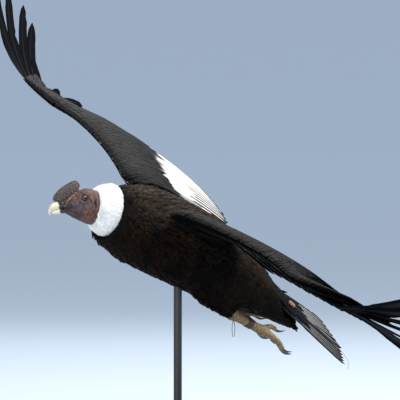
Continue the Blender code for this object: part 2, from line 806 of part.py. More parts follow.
def add_secondaries(sign):
    vanes = []
    for k in range(SECONDARIES):
        t = k / (SECONDARIES - 1)
        out = INNERMOST_SECONDARY + (OUTERMOST_SECONDARY - INNERMOST_SECONDARY) * t
        edge_back, _, chord, _ = smooth(WING, out)
        root = (out, edge_back + SECONDARY_ROOT * chord)
        length = chord * (1 - SECONDARY_ROOT) * (1 - INNER_SHORTENING * math.exp(-(k / 2.5) ** 2))

        def height(share, across, spot, middle):
            return wing_height(sign, middle.x, spot.y) + VANE_TILT * across

        place = feather_place(sign, root, math.radians(90 - 5 * t**3), length, height)
        vanes.append(add_vane(place, SECONDARY_WIDTH, BROAD_VANE, 0.46, wing_up(sign)))
    return vanes


def primary_root(k):
    first, last = PRIMARY_ROOTS
    out = first + (last - first) * k / (len(PRIMARIES) - 1)
    return out, smooth(WING, out)[0] + PRIMARY_BACK + PRIMARY_SPREAD * (1 - k / (len(PRIMARIES) - 1))


def add_primaries(sign):
    vanes = []
    for k, (sweep, length, *lifts) in enumerate(PRIMARIES):
        root = primary_root(k)
        sunk = smooth(WING, root[0])[1] - wing_height(sign, *root)
        lift = lifts[0] if sign > 0 else lifts[1]

        def height(share, across, spot, middle, sunk=sunk, lift=lift):
            surface = wing_height(sign, middle.x, middle.y)
            bend = lift * max(share, 0) ** LIFT_POWER
            return surface + sunk * (1 - share) + bend + PRIMARY_TILT * across

        place = feather_place(sign, root, math.radians(sweep), length, height)
        finger = k > 3
        outline = FINGER_VANE if finger else BROAD_VANE
        lead = 0.36 if finger else 0.44
        vanes.append(add_vane(place, PRIMARY_WIDTH, outline, lead, wing_up(sign)))
    return vanes


def add_arm_coverts(sign):
    vanes = []
    for count, start, end, width, lifts, face in ARM_COVERTS:
        for k in range(count):
            out = INNERMOST_SECONDARY + (OUTERMOST_SECONDARY - 0.03 - INNERMOST_SECONDARY) * k / (count - 1)
            edge_back, _, chord, _ = smooth(WING, out)
            root = (out, edge_back + start * chord)

            def height(share, across, spot, middle):
                lift = lifts[0] + (lifts[1] - lifts[0]) * min(share / 0.5, 1)
                lift += (lifts[2] - lifts[1]) * max(share / 0.5 - 1, 0)
                place_share = (spot.y - smooth(WING, middle.x)[0]) / chord
                top = core_half(middle.x, min(place_share, core_share(middle.x)), face)
                surface = wing_height(sign, middle.x, spot.y)
                return surface + face * (top + lift) + VANE_TILT * across

            place = feather_place(sign, root, math.radians(90), (end - start) * chord, height)
            vanes.append(add_vane(place, width, COVERT_VANE, 0.46, wing_up(sign)))
    return vanes


def add_primary_coverts(sign):
    vanes = []
    for k in PRIMARY_COVERTS:
        out, back = primary_root(k)
        root = (out, back - 0.004)

        def height(share, across, spot, middle):
            lift = -0.003 + (PRIMARY_COVERT_HEIGHT + 0.003) * min(share / 0.4, 1)
            return wing_height(sign, middle.x, middle.y) + lift + PRIMARY_TILT * across

        sweep = math.radians(PRIMARIES[k][0])
        place = feather_place(sign, root, sweep, PRIMARY_COVERT_LENGTH, height)
        vanes.append(add_vane(place, PRIMARY_COVERT_WIDTH, COVERT_VANE, 0.46, wing_up(sign), 0.0010))
    return vanes


def make_wing(name, sign):
    core = make_wing_core(name, sign)
    vanes = add_secondaries(sign) + add_primaries(sign) + add_arm_coverts(sign) + add_primary_coverts(sign)
    return boolean(core, vanes, "UNION")


def tail_frame():
    droop = Matrix.Rotation(-TAIL_DROOP, 4, "X")
    roll = Matrix.Rotation(TAIL_ROLL, 4, "Y")
    return Matrix.Translation(TAIL_PLACE) @ droop @ roll


def tail_place(side, start, angle, length, height, clamp=True):
    """Places a tail feather's points; it keeps to its own side of the middle line."""
    frame = tail_frame()

    def place(share, across):
        x = start[0] + length * share * math.sin(angle) + across * math.cos(angle)
        y = start[1] + length * share * math.cos(angle) - across * math.sin(angle)
        if clamp:
            x = max(x, 0.001)
        return frame @ Vector((side * x, y, height(share, across)))

    return place


def make_tail():
    frame = tail_frame()
    rings = []
    for y, half, thick in TAIL_CORE:
        ends = Vector((0, y, thick)), Vector((0, y, -thick))
        rings.append([frame @ point for point in oval(*ends, Vector((1, 0, 0)), half, 14)])
    core = add_rings("tail", rings, "black_plumage")
    up = frame.to_3x3() @ Vector((0, 0, 1))
    vanes = []
    for side in (1, -1):
        for k in range(TAIL_PAIRS):
            on_top = side == 1 and k == 0
            angle = TAIL_FAN * (k + 0.5) / TAIL_PAIRS

            def height(share, across, k=k, on_top=on_top):
                return 0.0026 if on_top else -0.0006 * k + 0.07 * across

            start = (0.0035 + TAIL_ROOT_STEP * k, 0.02)
            length = TAIL_LENGTH - 0.02 - 0.004 * k
            place = tail_place(side, start, angle, length, height, clamp=not on_top)
            vanes.append(add_vane(place, TAIL_WIDTH, BROAD_VANE, 0.45, up))
        for k in range(TAIL_COVERTS + 1):
            if side == -1 and k == 0:
                continue
            for face, length in ((1, 0.125), (-1, 0.150)):

                def height(share, across, k=k, face=face):
                    rise = 0.0100 - 0.0016 * k if face > 0 else 0.0085 + 0.0016 * k
                    return face * (0.002 + (rise - 0.002) * min(share / 0.4, 1))

                start = (0.009 * k, 0.015)
                place = tail_place(side, start, TAIL_COVERT_STEP * k, length, height, clamp=k > 0)
                vanes.append(add_vane(place, TAIL_COVERT_WIDTH, COVERT_VANE, 0.5, up, 0.0010))
    return boolean(core, vanes, "UNION")


def make_thigh(name, sign):
    rings = []
    axis = HEEL - THIGH_TOP
    for share, radius in THIGH:
        middle = THIGH_TOP + axis * share
        ends = middle + Vector((0, 0, radius)), middle - Vector((0, 0, radius))
        ring = oval(*ends, Vector((1, 0, 0)), radius * THIGH_FLATNESS, 14)
        rings.append([mirrored(point, sign) for point in ring])
    return add_rings(name, rings, "black_plumage")


def shank_point(share):
    return HEEL + (TOE_ROOT - HEEL) * share


def make_shank(name, sign):
    points = [mirrored(shank_point(share), sign) for share, _ in SHANK]
    return add_tube(name, points, [radius for _, radius in SHANK], 12, "leg_skin", round_ends=False)


def make_foot(name, sign):
    pieces = []
    for radius, path in TOES.values():
        points = [mirrored(TOE_ROOT + Vector(point), sign) for point in path]
        pieces.append(add_tube("toe", points, [radius * share for share in TOE_TAPER], 6))
    ends = [mirrored(TOE_ROOT + Vector((0, back, 0)), sign) for back in (0.0006, 0.020)]
    palm = add_tube(name, ends, [PALM_RADIUS, PALM_RADIUS * 0.9], 12, "leg_skin", round_ends=False)
    return boolean(palm, pieces, "UNION")


def make_claw(name, sign, path, radius):
    end = Vector(path[-1])
    ahead = (end - Vector(path[-2])).normalized()
    length = radius * CLAW_LENGTH
    curve = Vector((0, 0.008, 0.019))
    points = [TOE_ROOT + end + ahead * (length * share) + curve * share**2 for share in (0, 0.4, 0.75, 1)]
    points = [mirrored(point, sign) for point in points]
    rings = tube_rings(points[:3], [radius * share for share in (0.74, 0.52, 0.30)], 6)
    return add_rings(name, rings, "claw", last_tip=points[3])


def around_shank(sign, share, along, radius, sides):
    """A ring of points round the shank, square to it."""
    ahead = (TOE_ROOT - HEEL).normalized()
    side = ahead.cross(Vector((0, 0, 1))).normalized()
    up = side.cross(ahead)
    middle = shank_point(share) + ahead * along
    ring = []
    for k in range(sides):
        angle = 2 * math.pi * k / sides
        ring.append(mirrored(middle + (side * math.cos(angle) + up * math.sin(angle)) * radius, sign))
    return ring


def make_anklet(name, sign):
    inner, outer = ANKLET_RADII
    half = ANKLET_WIDTH / 2
    corners = ((-half, inner), (-half, outer), (half, outer), (half, inner))
    rings = [around_shank(sign, ANKLET_SHARE, along, radius, 14) for along, radius in corners]
    return add_object(name, loop_of_rings(rings), "leather")


def make_wire_loop(shank):
    """A ring of wire round the left shank, a small knot under it and a long thin loop."""
    sides = 14
    inner, outer = WIRE_RING - WIRE_RADIUS, WIRE_RING + WIRE_RADIUS
    corners = ((-WIRE_RADIUS, WIRE_RING), (0, outer), (WIRE_RADIUS, WIRE_RING), (0, inner))
    rings = [around_shank(1, WIRE_SHARE, along, radius, sides) for along, radius in corners]
    ring = add_object("wire_loop", loop_of_rings(rings), "wire")
    turn = pose_matrix().to_3x3().inverted()
    down = turn @ Vector((0, 0, -1))
    across = turn @ Vector((0.629, 0.777, 0))
    radial = (down - (TOE_ROOT - HEEL).normalized() * down.dot((TOE_ROOT - HEEL).normalized())).normalized()
    knot = shank_point(WIRE_SHARE) + radial * (WIRE_RING + 0.0014)
    centre = knot + down * (WIRE_DROP / 2)
    path = []
    for k in range(WIRE_TURNS):
        angle = 2 * math.pi * k / WIRE_TURNS
        path.append(centre + across * (math.sin(angle) * WIRE_WIDTH / 2) - down * (math.cos(angle) * WIRE_DROP / 2))
    normal = down.cross(across)
    loops = []
    for k, point in enumerate(path):
        ahead = (path[(k + 1) % WIRE_TURNS] - path[k - 1]).normalized()
        side = ahead.cross(normal)
        loops.append([
            point + (side * math.cos(j * math.pi / 2) + normal * math.sin(j * math.pi / 2)) * WIRE_RADIUS
            for j in range(4)
        ])
    loop = add_object("loop", loop_of_rings(loops))
    ball = add_ball("knot", knot, 0.0030, 6)
    return cut_clear(boolean(ring, [loop, ball], "UNION"), shank)


def make_transmitter(tail):
    frame = tail_frame()
    shape = bmesh.new()
    bmesh.ops.create_cube(shape, size=1)
    bmesh.ops.scale(shape, verts=shape.verts, vec=TRANSMITTER_SIZE)
    bmesh.ops.bevel(shape, geom=shape.edges, offset=0.002, segments=2, affect="EDGES", profile=0.5)
    shape.transform(frame @ Matrix.Translation(TRANSMITTER_PLACE))
    case = cut_clear(add_object("tail_transmitter", shape, "transmitter"), tail)
    start = TRANSMITTER_PLACE + Vector((0, TRANSMITTER_SIZE.y / 2 + GAP, 0))
    route = (
        start,
        start + Vector((0.002, 0.030, 0.001)),
        start + Vector((0.012, 0.110, -0.002)),
        start + Vector((0.024, 0.200, -0.006)),
        start + Vector((0.032, 0.262, -0.014)),
        start + Vector((0.036, 0.290, -0.034)),
    )
    table = [(i, *point) for i, point in enumerate(route)]
    points = [frame @ Vector(smooth(table, i / 3)) for i in range(3 * len(route) - 2)]
    antenna = add_tube("tail_antenna", points, [ANTENNA_RADIUS] * len(points), 6, "wire", round_ends=False)
    return case, antenna


def make_stand(torso):
    centre = Vector((BASE_PLACE.x, BASE_PLACE.y, 0))
    outline = (
        (0, BASE_RADIUS - BASE_BEVEL / 3),
        (BASE_BEVEL / 3, BASE_RADIUS),
        (BASE_HEIGHT - BASE_BEVEL, BASE_RADIUS),
        (BASE_HEIGHT, BASE_RADIUS - BASE_BEVEL),
    )
    rings = []
    for z, radius in outline:
        angles = [2 * math.pi * k / BASE_SIDES for k in range(BASE_SIDES)]
        rings.append([centre + Vector((radius * math.cos(a), radius * math.sin(a), z)) for a in angles])
    base = add_rings("stand_base", rings, "stand")
    ends = [centre + Vector((0, 0, BASE_HEIGHT + GAP)), centre + Vector((0, 0, BODY_HEIGHT))]
    rod = add_rings("stand_rod", tube_rings(ends, [ROD_RADIUS] * 2, 20), "stand")
    cutter = swollen(torso)
    cutter.data.transform(pose_matrix())
    boolean(rod, [cutter], "DIFFERENCE")
    return base, rod


def main():
    clear_scene()
    torso = make_torso()
    bird = [torso]
    head = make_head()
    upper, lower = make_bill()
    comb = cut_clear(make_comb(), head, upper)
    neck = make_neck()
    form = make_head_form()
    boolean(torso, [make_ruff_socket()], "DIFFERENCE")
    cut_clear(torso, neck, form)
    ruff = make_ruff(neck, form)
    bpy.data.objects.remove(form)
    bird += [head, upper, lower, comb, neck, ruff, *make_eyes()]
    tail = cut_clear(make_tail(), torso)
    bird += [tail, *make_transmitter(tail)]
    for side, sign in (("left", 1), ("right", -1)):
        bird.append(cut_clear(make_wing("wing_" + side, sign), torso))
        thigh = cut_clear(make_thigh("thigh_" + side, sign), torso)
        shank = cut_clear(make_shank("shank_" + side, sign), thigh)
        foot = cut_clear(make_foot("foot_" + side, sign), shank)
        bird += [thigh, shank, foot]
        for toe, (radius, path) in TOES.items():
            claw = make_claw("claw_" + side + "_" + toe, sign, path, radius)
            bird.append(cut_clear(claw, foot))
        bird.append(make_anklet("anklet_" + side, sign))
        if side == "left":
            bird.append(make_wire_loop(shank))
    make_stand(torso)
    pose = bpy.data.objects.new("pose", None)
    bpy.context.scene.collection.objects.link(pose)
    pose.matrix_world = pose_matrix()
    for obj in bird:
        obj.parent = pose


main()
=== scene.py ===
import math

import bmesh
import bpy
import numpy as np
from mathutils import Matrix, Vector
from mathutils.bvhtree import BVHTree


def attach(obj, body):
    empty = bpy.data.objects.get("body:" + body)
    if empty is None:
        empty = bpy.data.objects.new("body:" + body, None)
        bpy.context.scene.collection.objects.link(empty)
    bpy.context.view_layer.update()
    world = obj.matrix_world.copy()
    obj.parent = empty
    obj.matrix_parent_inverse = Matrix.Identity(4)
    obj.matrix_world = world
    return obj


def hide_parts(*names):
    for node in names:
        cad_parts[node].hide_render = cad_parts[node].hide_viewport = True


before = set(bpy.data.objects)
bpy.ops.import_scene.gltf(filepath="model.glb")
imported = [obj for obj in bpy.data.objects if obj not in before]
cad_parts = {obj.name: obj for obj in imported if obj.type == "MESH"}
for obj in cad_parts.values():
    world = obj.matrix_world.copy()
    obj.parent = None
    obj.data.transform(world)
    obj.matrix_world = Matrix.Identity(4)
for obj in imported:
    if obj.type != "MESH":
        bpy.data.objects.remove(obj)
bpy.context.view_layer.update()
dice = np.random.default_rng(7)

# The bird's own frame: +X its left, -Y forward, +Z up, as it hangs in its pose
pose = {"height": 0.58, "pitch": 22, "bank": 20}
poseMatrix = (
    Matrix.Translation((0, 0, pose["height"]))
    @ Matrix.Rotation(math.radians(-pose["pitch"]), 4, "X")
    @ Matrix.Rotation(math.radians(pose["bank"]), 4, "Y")
)

# Head: the place of its eye line, its turn to the right, its nod
headPose = {"place": (-0.0210, -0.3510, -0.0115), "turn": 30, "nod": 13}
headTurn = poseMatrix.to_3x3().inverted() @ (
    Matrix.Rotation(math.radians(-headPose["turn"]), 3, "Z")
    @ Matrix.Rotation(math.radians(headPose["nod"]), 3, "X")
)
headMatrix = poseMatrix @ Matrix.Translation(headPose["place"]) @ headTurn.to_4x4()


# Camera
view = {
    "azimuth": 51, "elevation": 1, "distance": 12, "aim": (0.041, 0.050, 0.699), "lens": 372, "sensor": 36,
}


def setCamera():
    azimuth, elevation = math.radians(view["azimuth"]), math.radians(view["elevation"])
    away = Vector((
        math.sin(azimuth) * math.cos(elevation),
        -math.cos(azimuth) * math.cos(elevation),
        math.sin(elevation),
    ))
    cameraData = bpy.data.cameras.new("camera")
    cameraData.lens = view["lens"]
    cameraData.sensor_width = view["sensor"]
    camera = bpy.data.objects.new("camera", cameraData)
    bpy.context.scene.collection.objects.link(camera)
    camera.location = Vector(view["aim"]) + away * view["distance"]
    camera.rotation_euler = (-away).to_track_quat("-Z", "Y").to_euler()
    bpy.context.scene.camera = camera


setCamera()


# Curves through tables, for single values or whole arrays
def alongTable(table, x):
    rows = np.array(table, float)
    xs = rows[:, 0]
    x = np.clip(np.asarray(x, float), xs[0], xs[-1])
    i = np.clip(np.searchsorted(xs, x, side="right") - 1, 0, len(xs) - 2)
    step = xs[i + 1] - xs[i]
    t = (x - xs[i]) / step
    low, high = np.maximum(i - 1, 0), np.minimum(i + 2, len(xs) - 1)
    columns = []
    for ys in rows[:, 1:].T:
        first = (ys[i + 1] - ys[low]) / (xs[i + 1] - xs[low]) * step
        last = (ys[high] - ys[i]) / (xs[high] - xs[i]) * step
        columns.append(
            (2 * t**3 - 3 * t**2 + 1) * ys[i] + (t**3 - 2 * t**2 + t) * first
            + (3 * t**2 - 2 * t**3) * ys[i + 1] + (t**3 - t**2) * last
        )
    return columns


def unit(vectors):
    return vectors / np.maximum(np.linalg.norm(vectors, axis=-1, keepdims=True), 1e-9)


def fade(x, low, high):
    t = np.clip((np.asarray(x, float) - low) / (high - low), 0, 1)
    return t * t * (3 - 2 * t)


# Shader maths
class Value:
    def __init__(self, paint, socket):
        self.paint, self.socket = paint, socket

    def math(self, operation, other=None):
        inputs = [self.socket] if other is None else [self.socket, getattr(other, "socket", other)]
        return self.paint.node("ShaderNodeMath", {"operation": operation}, inputs)

    def __add__(self, other):
        return self.math("ADD", other)

    def __sub__(self, other):
        return self.math("SUBTRACT", other)

    def __mul__(self, other):
        return self.math("MULTIPLY", other)


class Paint:
    def __init__(self, name, roughness, **constants):
        self.material = bpy.data.materials.new(name)
        self.material.use_nodes = True
        self.tree = self.material.node_tree
        self.shader = self.tree.nodes["Principled BSDF"]
        self.shader.inputs["Roughness"].default_value = roughness
        for socket, value in constants.items():
            self.shader.inputs[socket.replace("_", " ")].default_value = value

    def node(self, kind, settings=None, inputs=(), output=0):
        made = self.tree.nodes.new(kind)
        for name, value in (settings or {}).items():
            setattr(made, name, value)
        pairs = inputs.items() if isinstance(inputs, dict) else enumerate(inputs)
        for name, value in pairs:
            value = getattr(value, "socket", value)
            if isinstance(value, bpy.types.NodeSocket):
                self.tree.links.new(value, made.inputs[name])
            else:
                made.inputs[name].default_value = value
        return Value(self, made.outputs[output])

    def place(self):
        return self.node("ShaderNodeTexCoord", output="Object")

    def uv(self, name):
        return self.node("ShaderNodeUVMap", {"uv_map": name})

    def split(self, vector, axis):
        return self.node("ShaderNodeSeparateXYZ", inputs=[vector], output=axis)

    def tint(self):
        return self.node("ShaderNodeAttribute", {"attribute_name": "tint"}, output="Color")

    def noise(self, vector, scale, detail=3.0):
        return self.node("ShaderNodeTexNoise", inputs={"Vector": vector, "Scale": scale, "Detail": detail})

    def cells(self, vector, scale):
        return self.node("ShaderNodeTexVoronoi", inputs={"Vector": vector, "Scale": scale})

    def mix(self, share, first, last, blend="MIX"):
        settings = {"data_type": "RGBA", "blend_type": blend}
        return self.node("ShaderNodeMix", settings, {0: share, 6: first, 7: last}, 2)

    def colour(self, value):
        self.tree.links.new(value.socket, self.shader.inputs["Base Color"])

    def rough(self, value):
        self.tree.links.new(value.socket, self.shader.inputs["Roughness"])

    def bump(self, height, strength, distance):
        inputs = {"Strength": strength, "Distance": distance, "Height": height}
        made = self.node("ShaderNodeBump", inputs=inputs)
        self.tree.links.new(made.socket, self.shader.inputs["Normal"])


def greyTone(share):
    return (share, share, share, 1)


featherLook = {
    "slant": 0.35, "mottle": 60, "mottled": (0.82, 1.16), "streak": 0.90, "streakShare": 0.5,
    "uneven": 0.25, "even": 0.12, "bump": 0.25, "depth": 0.0006,
}


def featherMaterial(name, roughness, barb=90, sheen=0.0, gloss=0.12):
    paint = Paint(name, roughness, Sheen_Weight=sheen, Specular_IOR_Level=gloss)
    uv = paint.uv("vane")
    across, along = paint.split(uv, 0), paint.split(uv, 1)
    off = (across - 0.5).math("ABSOLUTE")
    barbs = (along * barb + off * barb * featherLook["slant"]).math("SINE") * 0.5 + 0.5
    mottle = paint.noise(paint.place(), featherLook["mottle"])
    shade = paint.mix(mottle, *[greyTone(share) for share in featherLook["mottled"]])
    streak = paint.mix(barbs * featherLook["streakShare"], greyTone(1), greyTone(featherLook["streak"]))
    paint.colour(paint.mix(1.0, paint.mix(1.0, paint.tint(), shade, "MULTIPLY"), streak, "MULTIPLY"))
    paint.rough(mottle * featherLook["uneven"] + (roughness - featherLook["even"]))
    paint.bump(barbs, featherLook["bump"], featherLook["depth"])
    return paint.material


skinLook = {
    "coarse": 0.35, "detail": 4, "fine": 2.2,
    "shadow": (0.72, 0.72, 0.74, 1), "light": (1.28, 1.25, 1.22, 1),
    "uneven": 0.25, "even": 0.1, "depth": 0.0012,
}


def skinMaterial(name, roughness, scale, strength, coat=0.0, gloss=0.4):
    paint = Paint(name, roughness, Coat_Weight=coat, Specular_IOR_Level=gloss)
    place = paint.place()
    coarse = paint.noise(place, scale * skinLook["coarse"], skinLook["detail"])
    fine = paint.cells(place, scale * skinLook["fine"])
    shade = paint.mix(coarse, skinLook["shadow"], skinLook["light"])
    paint.colour(paint.mix(1.0, paint.tint(), shade, "MULTIPLY"))
    paint.rough(coarse * skinLook["uneven"] + (roughness - skinLook["even"]))
    paint.bump(fine + coarse, strength, skinLook["depth"])
    return paint.material


plainLook = {"detail": 5, "shades": (0.75, 1.25), "uneven": 0.2, "even": 0.1, "depth": 0.0004}


def plainMaterial(name, colour, roughness, scale, strength, metallic):
    paint = Paint(name, roughness, Metallic=metallic)
    grain = paint.noise(paint.place(), scale, plainLook["detail"])
    dark, light = [(*(min(channel * share, 1) for channel in colour), 1) for share in plainLook["shades"]]
    paint.colour(paint.mix(grain, dark, light))
    paint.rough(grain * plainLook["uneven"] + (roughness - plainLook["even"]))
    paint.bump(grain, strength, plainLook["depth"])
    return paint.material


blackFeather = featherMaterial("black feather", 0.50, gloss=0.0)
coatFeather = featherMaterial("body feather", 0.60, barb=30, gloss=0.03)
downFeather = featherMaterial("white down", 0.85, barb=20, sheen=0.3)
bareSkin = skinMaterial("bare skin", 0.55, 420, 0.55)
combSkin = skinMaterial("comb skin", 0.62, 380, 0.6)
legSkin = skinMaterial("leg scales", 0.58, 260, 0.5)
horn = skinMaterial("horn", 0.34, 90, 0.12, coat=0.25)
underSkin = skinMaterial("skin under the coat", 0.9, 200, 0.3, gloss=0.05)
print("materials ready")


# Making pieces
making = {"coatLimit": 95000, "unwrapAngle": 66, "unwrapMargin": 0.004, "weld": 0.00001}


def setTint(piece, colours):
    mesh = piece.data
    values = np.ones((len(mesh.vertices), 4), np.float32)
    values[:, :3] = colours
    mesh.color_attributes.new("tint", "FLOAT_COLOR", "POINT").data.foreach_set("color", values.ravel())


def addPiece(name, points, faces, tint, material, slot, vane=None, bake=None, matrix=poseMatrix):
    mesh = bpy.data.meshes.new(name)
    mesh.from_pydata(np.asarray(points, float).tolist(), [], faces)
    mesh.transform(matrix)
    piece = bpy.data.objects.new(name, mesh)
    bpy.context.scene.collection.objects.link(piece)
    setTint(piece, tint)
    corners = np.empty(len(mesh.loops), np.int32)
    mesh.loops.foreach_get("vertex_index", corners)
    for layer, values in (("OFBake", bake), ("vane", vane)):
        if values is not None:
            flat = np.asarray(values, np.float32)[corners].ravel()
            mesh.uv_layers.new(name=layer).data.foreach_set("uv", flat)
    mesh.shade_smooth()
    mesh.materials.append(material)
    mesh.update()
    return finishPiece(piece, slot)


def addCoat(name, points, quads, tint, material, slot, vane, bake, per):
    count = len(points) // per
    quadsEach = len(quads) // count
    parts = math.ceil(count * quadsEach / making["coatLimit"])
    bounds = [round(count * part / parts) for part in range(parts + 1)]
    for part, (low, high) in enumerate(zip(bounds, bounds[1:])):
        rows = slice(low * per, high * per)
        faces = (quads[low * quadsEach:high * quadsEach] - low * per).tolist()
        title = name if parts == 1 else f"{name}_{part + 1}"
        addPiece(title, points[rows], faces, tint[rows], material, slot, vane[rows], bake[rows])


def finishPiece(piece, slot, *nodes):
    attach(piece, "root")
    if nodes:
        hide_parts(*nodes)
    return piece


def pickOnly(piece):
    bpy.ops.object.select_all(action="DESELECT")
    piece.select_set(True)
    bpy.context.view_layer.objects.active = piece


def unwrap(piece):
    pickOnly(piece)
    mesh = piece.data
    layer = mesh.uv_layers.get("OFBake") or mesh.uv_layers.new(name="OFBake")
    mesh.uv_layers.active = layer
    bpy.ops.object.mode_set(mode="EDIT")
    bpy.ops.mesh.select_all(action="SELECT")
    angle = math.radians(making["unwrapAngle"])
    bpy.ops.uv.smart_project(angle_limit=angle, island_margin=making["unwrapMargin"])
    bpy.ops.object.mode_set(mode="OBJECT")


def applyModifier(piece, kind, **settings):
    pickOnly(piece)
    modifier = piece.modifiers.new(kind.title(), kind)
    for name, value in settings.items():
        setattr(modifier, name, value)
    bpy.ops.object.modifier_apply(modifier=modifier.name)


def ringFaces(rows, columns):
    span = np.arange(columns)
    base = np.arange(rows - 1)[:, None] * columns
    after = (span + 1) % columns
    corners = [base + span, base + after, base + after + columns, base + span + columns]
    return np.stack(corners, -1).reshape(-1, 4)


def oval(tops, bottoms, side, halfWidths, count, power=2.0):
    angle = 2 * np.pi * (np.arange(count) + 0.5) / count
    c, s = np.cos(angle), np.sin(angle)
    across = np.sign(c) * np.abs(c) ** (2 / power)
    rise = np.sign(s) * np.abs(s) ** (2 / power)
    middle, up = (tops + bottoms) / 2, (tops - bottoms) / 2
    return (
        middle[:, None] + np.asarray(side)[None, None] * (halfWidths[:, None] * across)[..., None]
        + up[:, None] * rise[None, :, None]
    )


def closeRings(rings, tips=(None, None)):
    rows, columns = rings.shape[:2]
    points = rings.reshape(-1, 3).tolist()
    faces = ringFaces(rows, columns).tolist()
    for row, tip, turn in ((0, tips[0], 1), (rows - 1, tips[1], -1)):
        start = row * columns
        centre = rings[row].mean(0) if tip is None else np.asarray(tip)
        points.append(list(centre))
        for k in range(columns):
            after = (k + 1) % columns
            corner = (start + after, start + k) if turn > 0 else (start + k, start + after)
            faces.append([*corner, len(points) - 1])
    return np.array(points), faces


def turnOutward(piece):
    pickOnly(piece)
    bpy.ops.object.mode_set(mode="EDIT")
    bpy.ops.mesh.select_all(action="SELECT")
    bpy.ops.mesh.remove_doubles(threshold=making["weld"])
    bpy.ops.mesh.normals_make_consistent(inside=False)
    bpy.ops.object.mode_set(mode="OBJECT")
    return piece


def addShell(name, points, faces, tint, material, slot, *nodes, matrix=poseMatrix):
    piece = addPiece(name, points, faces, tint, material, slot, matrix=matrix)
    turnOutward(piece)
    unwrap(piece)
    if nodes:
        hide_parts(*nodes)
    return piece


# Feathers: each is a closed vane with a raised shaft, laid on a line of points with its own frames.
# A feather's outline runs over shares of its length; its section runs over shares of its width.
vaneForm = {
    "middle": 1.6, "notches": 0.10, "wear": 0.25, "rib": 3, "ribTaper": 0.75, "ribUnder": 0.5, "thin": 0.5,
    "thinEdge": 0.6, "shaftEdge": 0.9, "shaftFade": 0.6,
}


def layVanes(lines, sides, ups, widths, outline, lead=0.5, columns=5, thickness=0.0008, shaft=0.0012,
             dents=0.0, curl=0.10):
    count, rows = lines.shape[:2]
    share = np.linspace(0, 1, rows)
    wide = np.interp(share, *np.array(outline).T)[None, :, None]
    wide = np.broadcast_to(wide, (count, rows, 1)).copy()
    even = np.linspace(-1, 1, columns)
    across = np.sign(even) * np.abs(even) ** vaneForm["middle"]
    reach = np.where(across < 0, -(1 - lead) * 2, lead * 2) * np.abs(across)
    edge = np.zeros((count, rows, columns))
    if dents:
        cut = dice.random((count, rows, 2)) < vaneForm["notches"]
        wide = wide * (1 - dents * dice.random((count, rows, 1)) * vaneForm["wear"])
        edge[..., 0], edge[..., -1] = cut[..., 0], cut[..., 1]
        edge[:, :2] = 0
    offset = reach[None, None] * wide * widths[:, None, None] / 2 * (1 - dents * edge)
    camber = -curl * (across**2)[None, None] * widths[:, None, None] * wide / 2
    rib = (1 - np.abs(across) * vaneForm["rib"]).clip(0)
    ridge = shaft * rib[None, None] * (1 - vaneForm["ribTaper"] * share)[None, :, None]
    taper = (1 - vaneForm["thin"] * share)[:, None] * (1 - vaneForm["thinEdge"] * np.abs(across))[None]
    half = (thickness / 2 * taper)[None]
    flat = lines[:, :, None] + sides[:, :, None] * offset[..., None]
    top = flat + ups[:, :, None] * (camber + half + ridge)[..., None]
    low = flat + ups[:, :, None] * (camber - half - ridge * vaneForm["ribUnder"])[..., None]
    ring = np.concatenate([top, low[:, :, ::-1]], 2)
    loop = 2 * columns
    caps = [[k, loop - 1 - k, loop - 2 - k, k + 1] for k in range(columns - 1)]
    last = (rows - 1) * loop
    caps += [[last + k for k in reversed(cap)] for cap in caps]
    faces = np.concatenate([ringFaces(rows, loop)[:, ::-1], np.array(caps)])
    allFaces = (faces[None] + (np.arange(count) * rows * loop)[:, None, None]).reshape(-1, 4)
    vane = np.empty((count, rows, loop, 2))
    vane[..., 0] = np.concatenate([across, across[::-1]]) / 2 + 0.5
    vane[..., 1] = share[None, :, None]
    return ring.reshape(-1, 3), allFaces, vane.reshape(-1, 2), loop * rows


def layLines(roots, aheads, ups, lengths, rows, droop):
    share = np.linspace(0, 1, rows)
    sides = unit(np.cross(aheads, ups))
    ups = unit(np.cross(sides, aheads))
    lines = (
        roots[:, None] + aheads[:, None] * (lengths[:, None] * share)[..., None]
        - ups[:, None] * ((lengths * droop)[:, None] * share**2)[..., None]
    )
    return [lines] + [np.broadcast_to(vectors[:, None], lines.shape) for vectors in (sides, ups)]


patch = {"size": 0.003, "share": 0.92, "margin": 0.04, "bounds": (0.01, 0.98)}


def bakePatches(anchors, perFeather, vane, cells=None):
    if cells:
        count = len(anchors)
        row, column = np.divmod(np.arange(count), cells)
        rows = math.ceil(count / cells)
        corner = np.stack([column / cells, row / rows], -1)
        size = np.array([patch["share"] / cells, patch["share"] / rows])
        return np.repeat(corner, perFeather, 0) + vane * size + patch["margin"] * size
    return np.repeat(np.clip(anchors, *patch["bounds"]), perFeather, 0) + (vane - 0.5) * patch["size"]


def shaftTint(base, vane, colour, share):
    middle = 1 - np.abs(vane[:, :1] - 0.5) * 2
    onShaft = (middle > vaneForm["shaftEdge"]) * share * (1 - vaneForm["shaftFade"] * vane[:, 1:])
    return base + (np.array(colour) - base) * onShaft


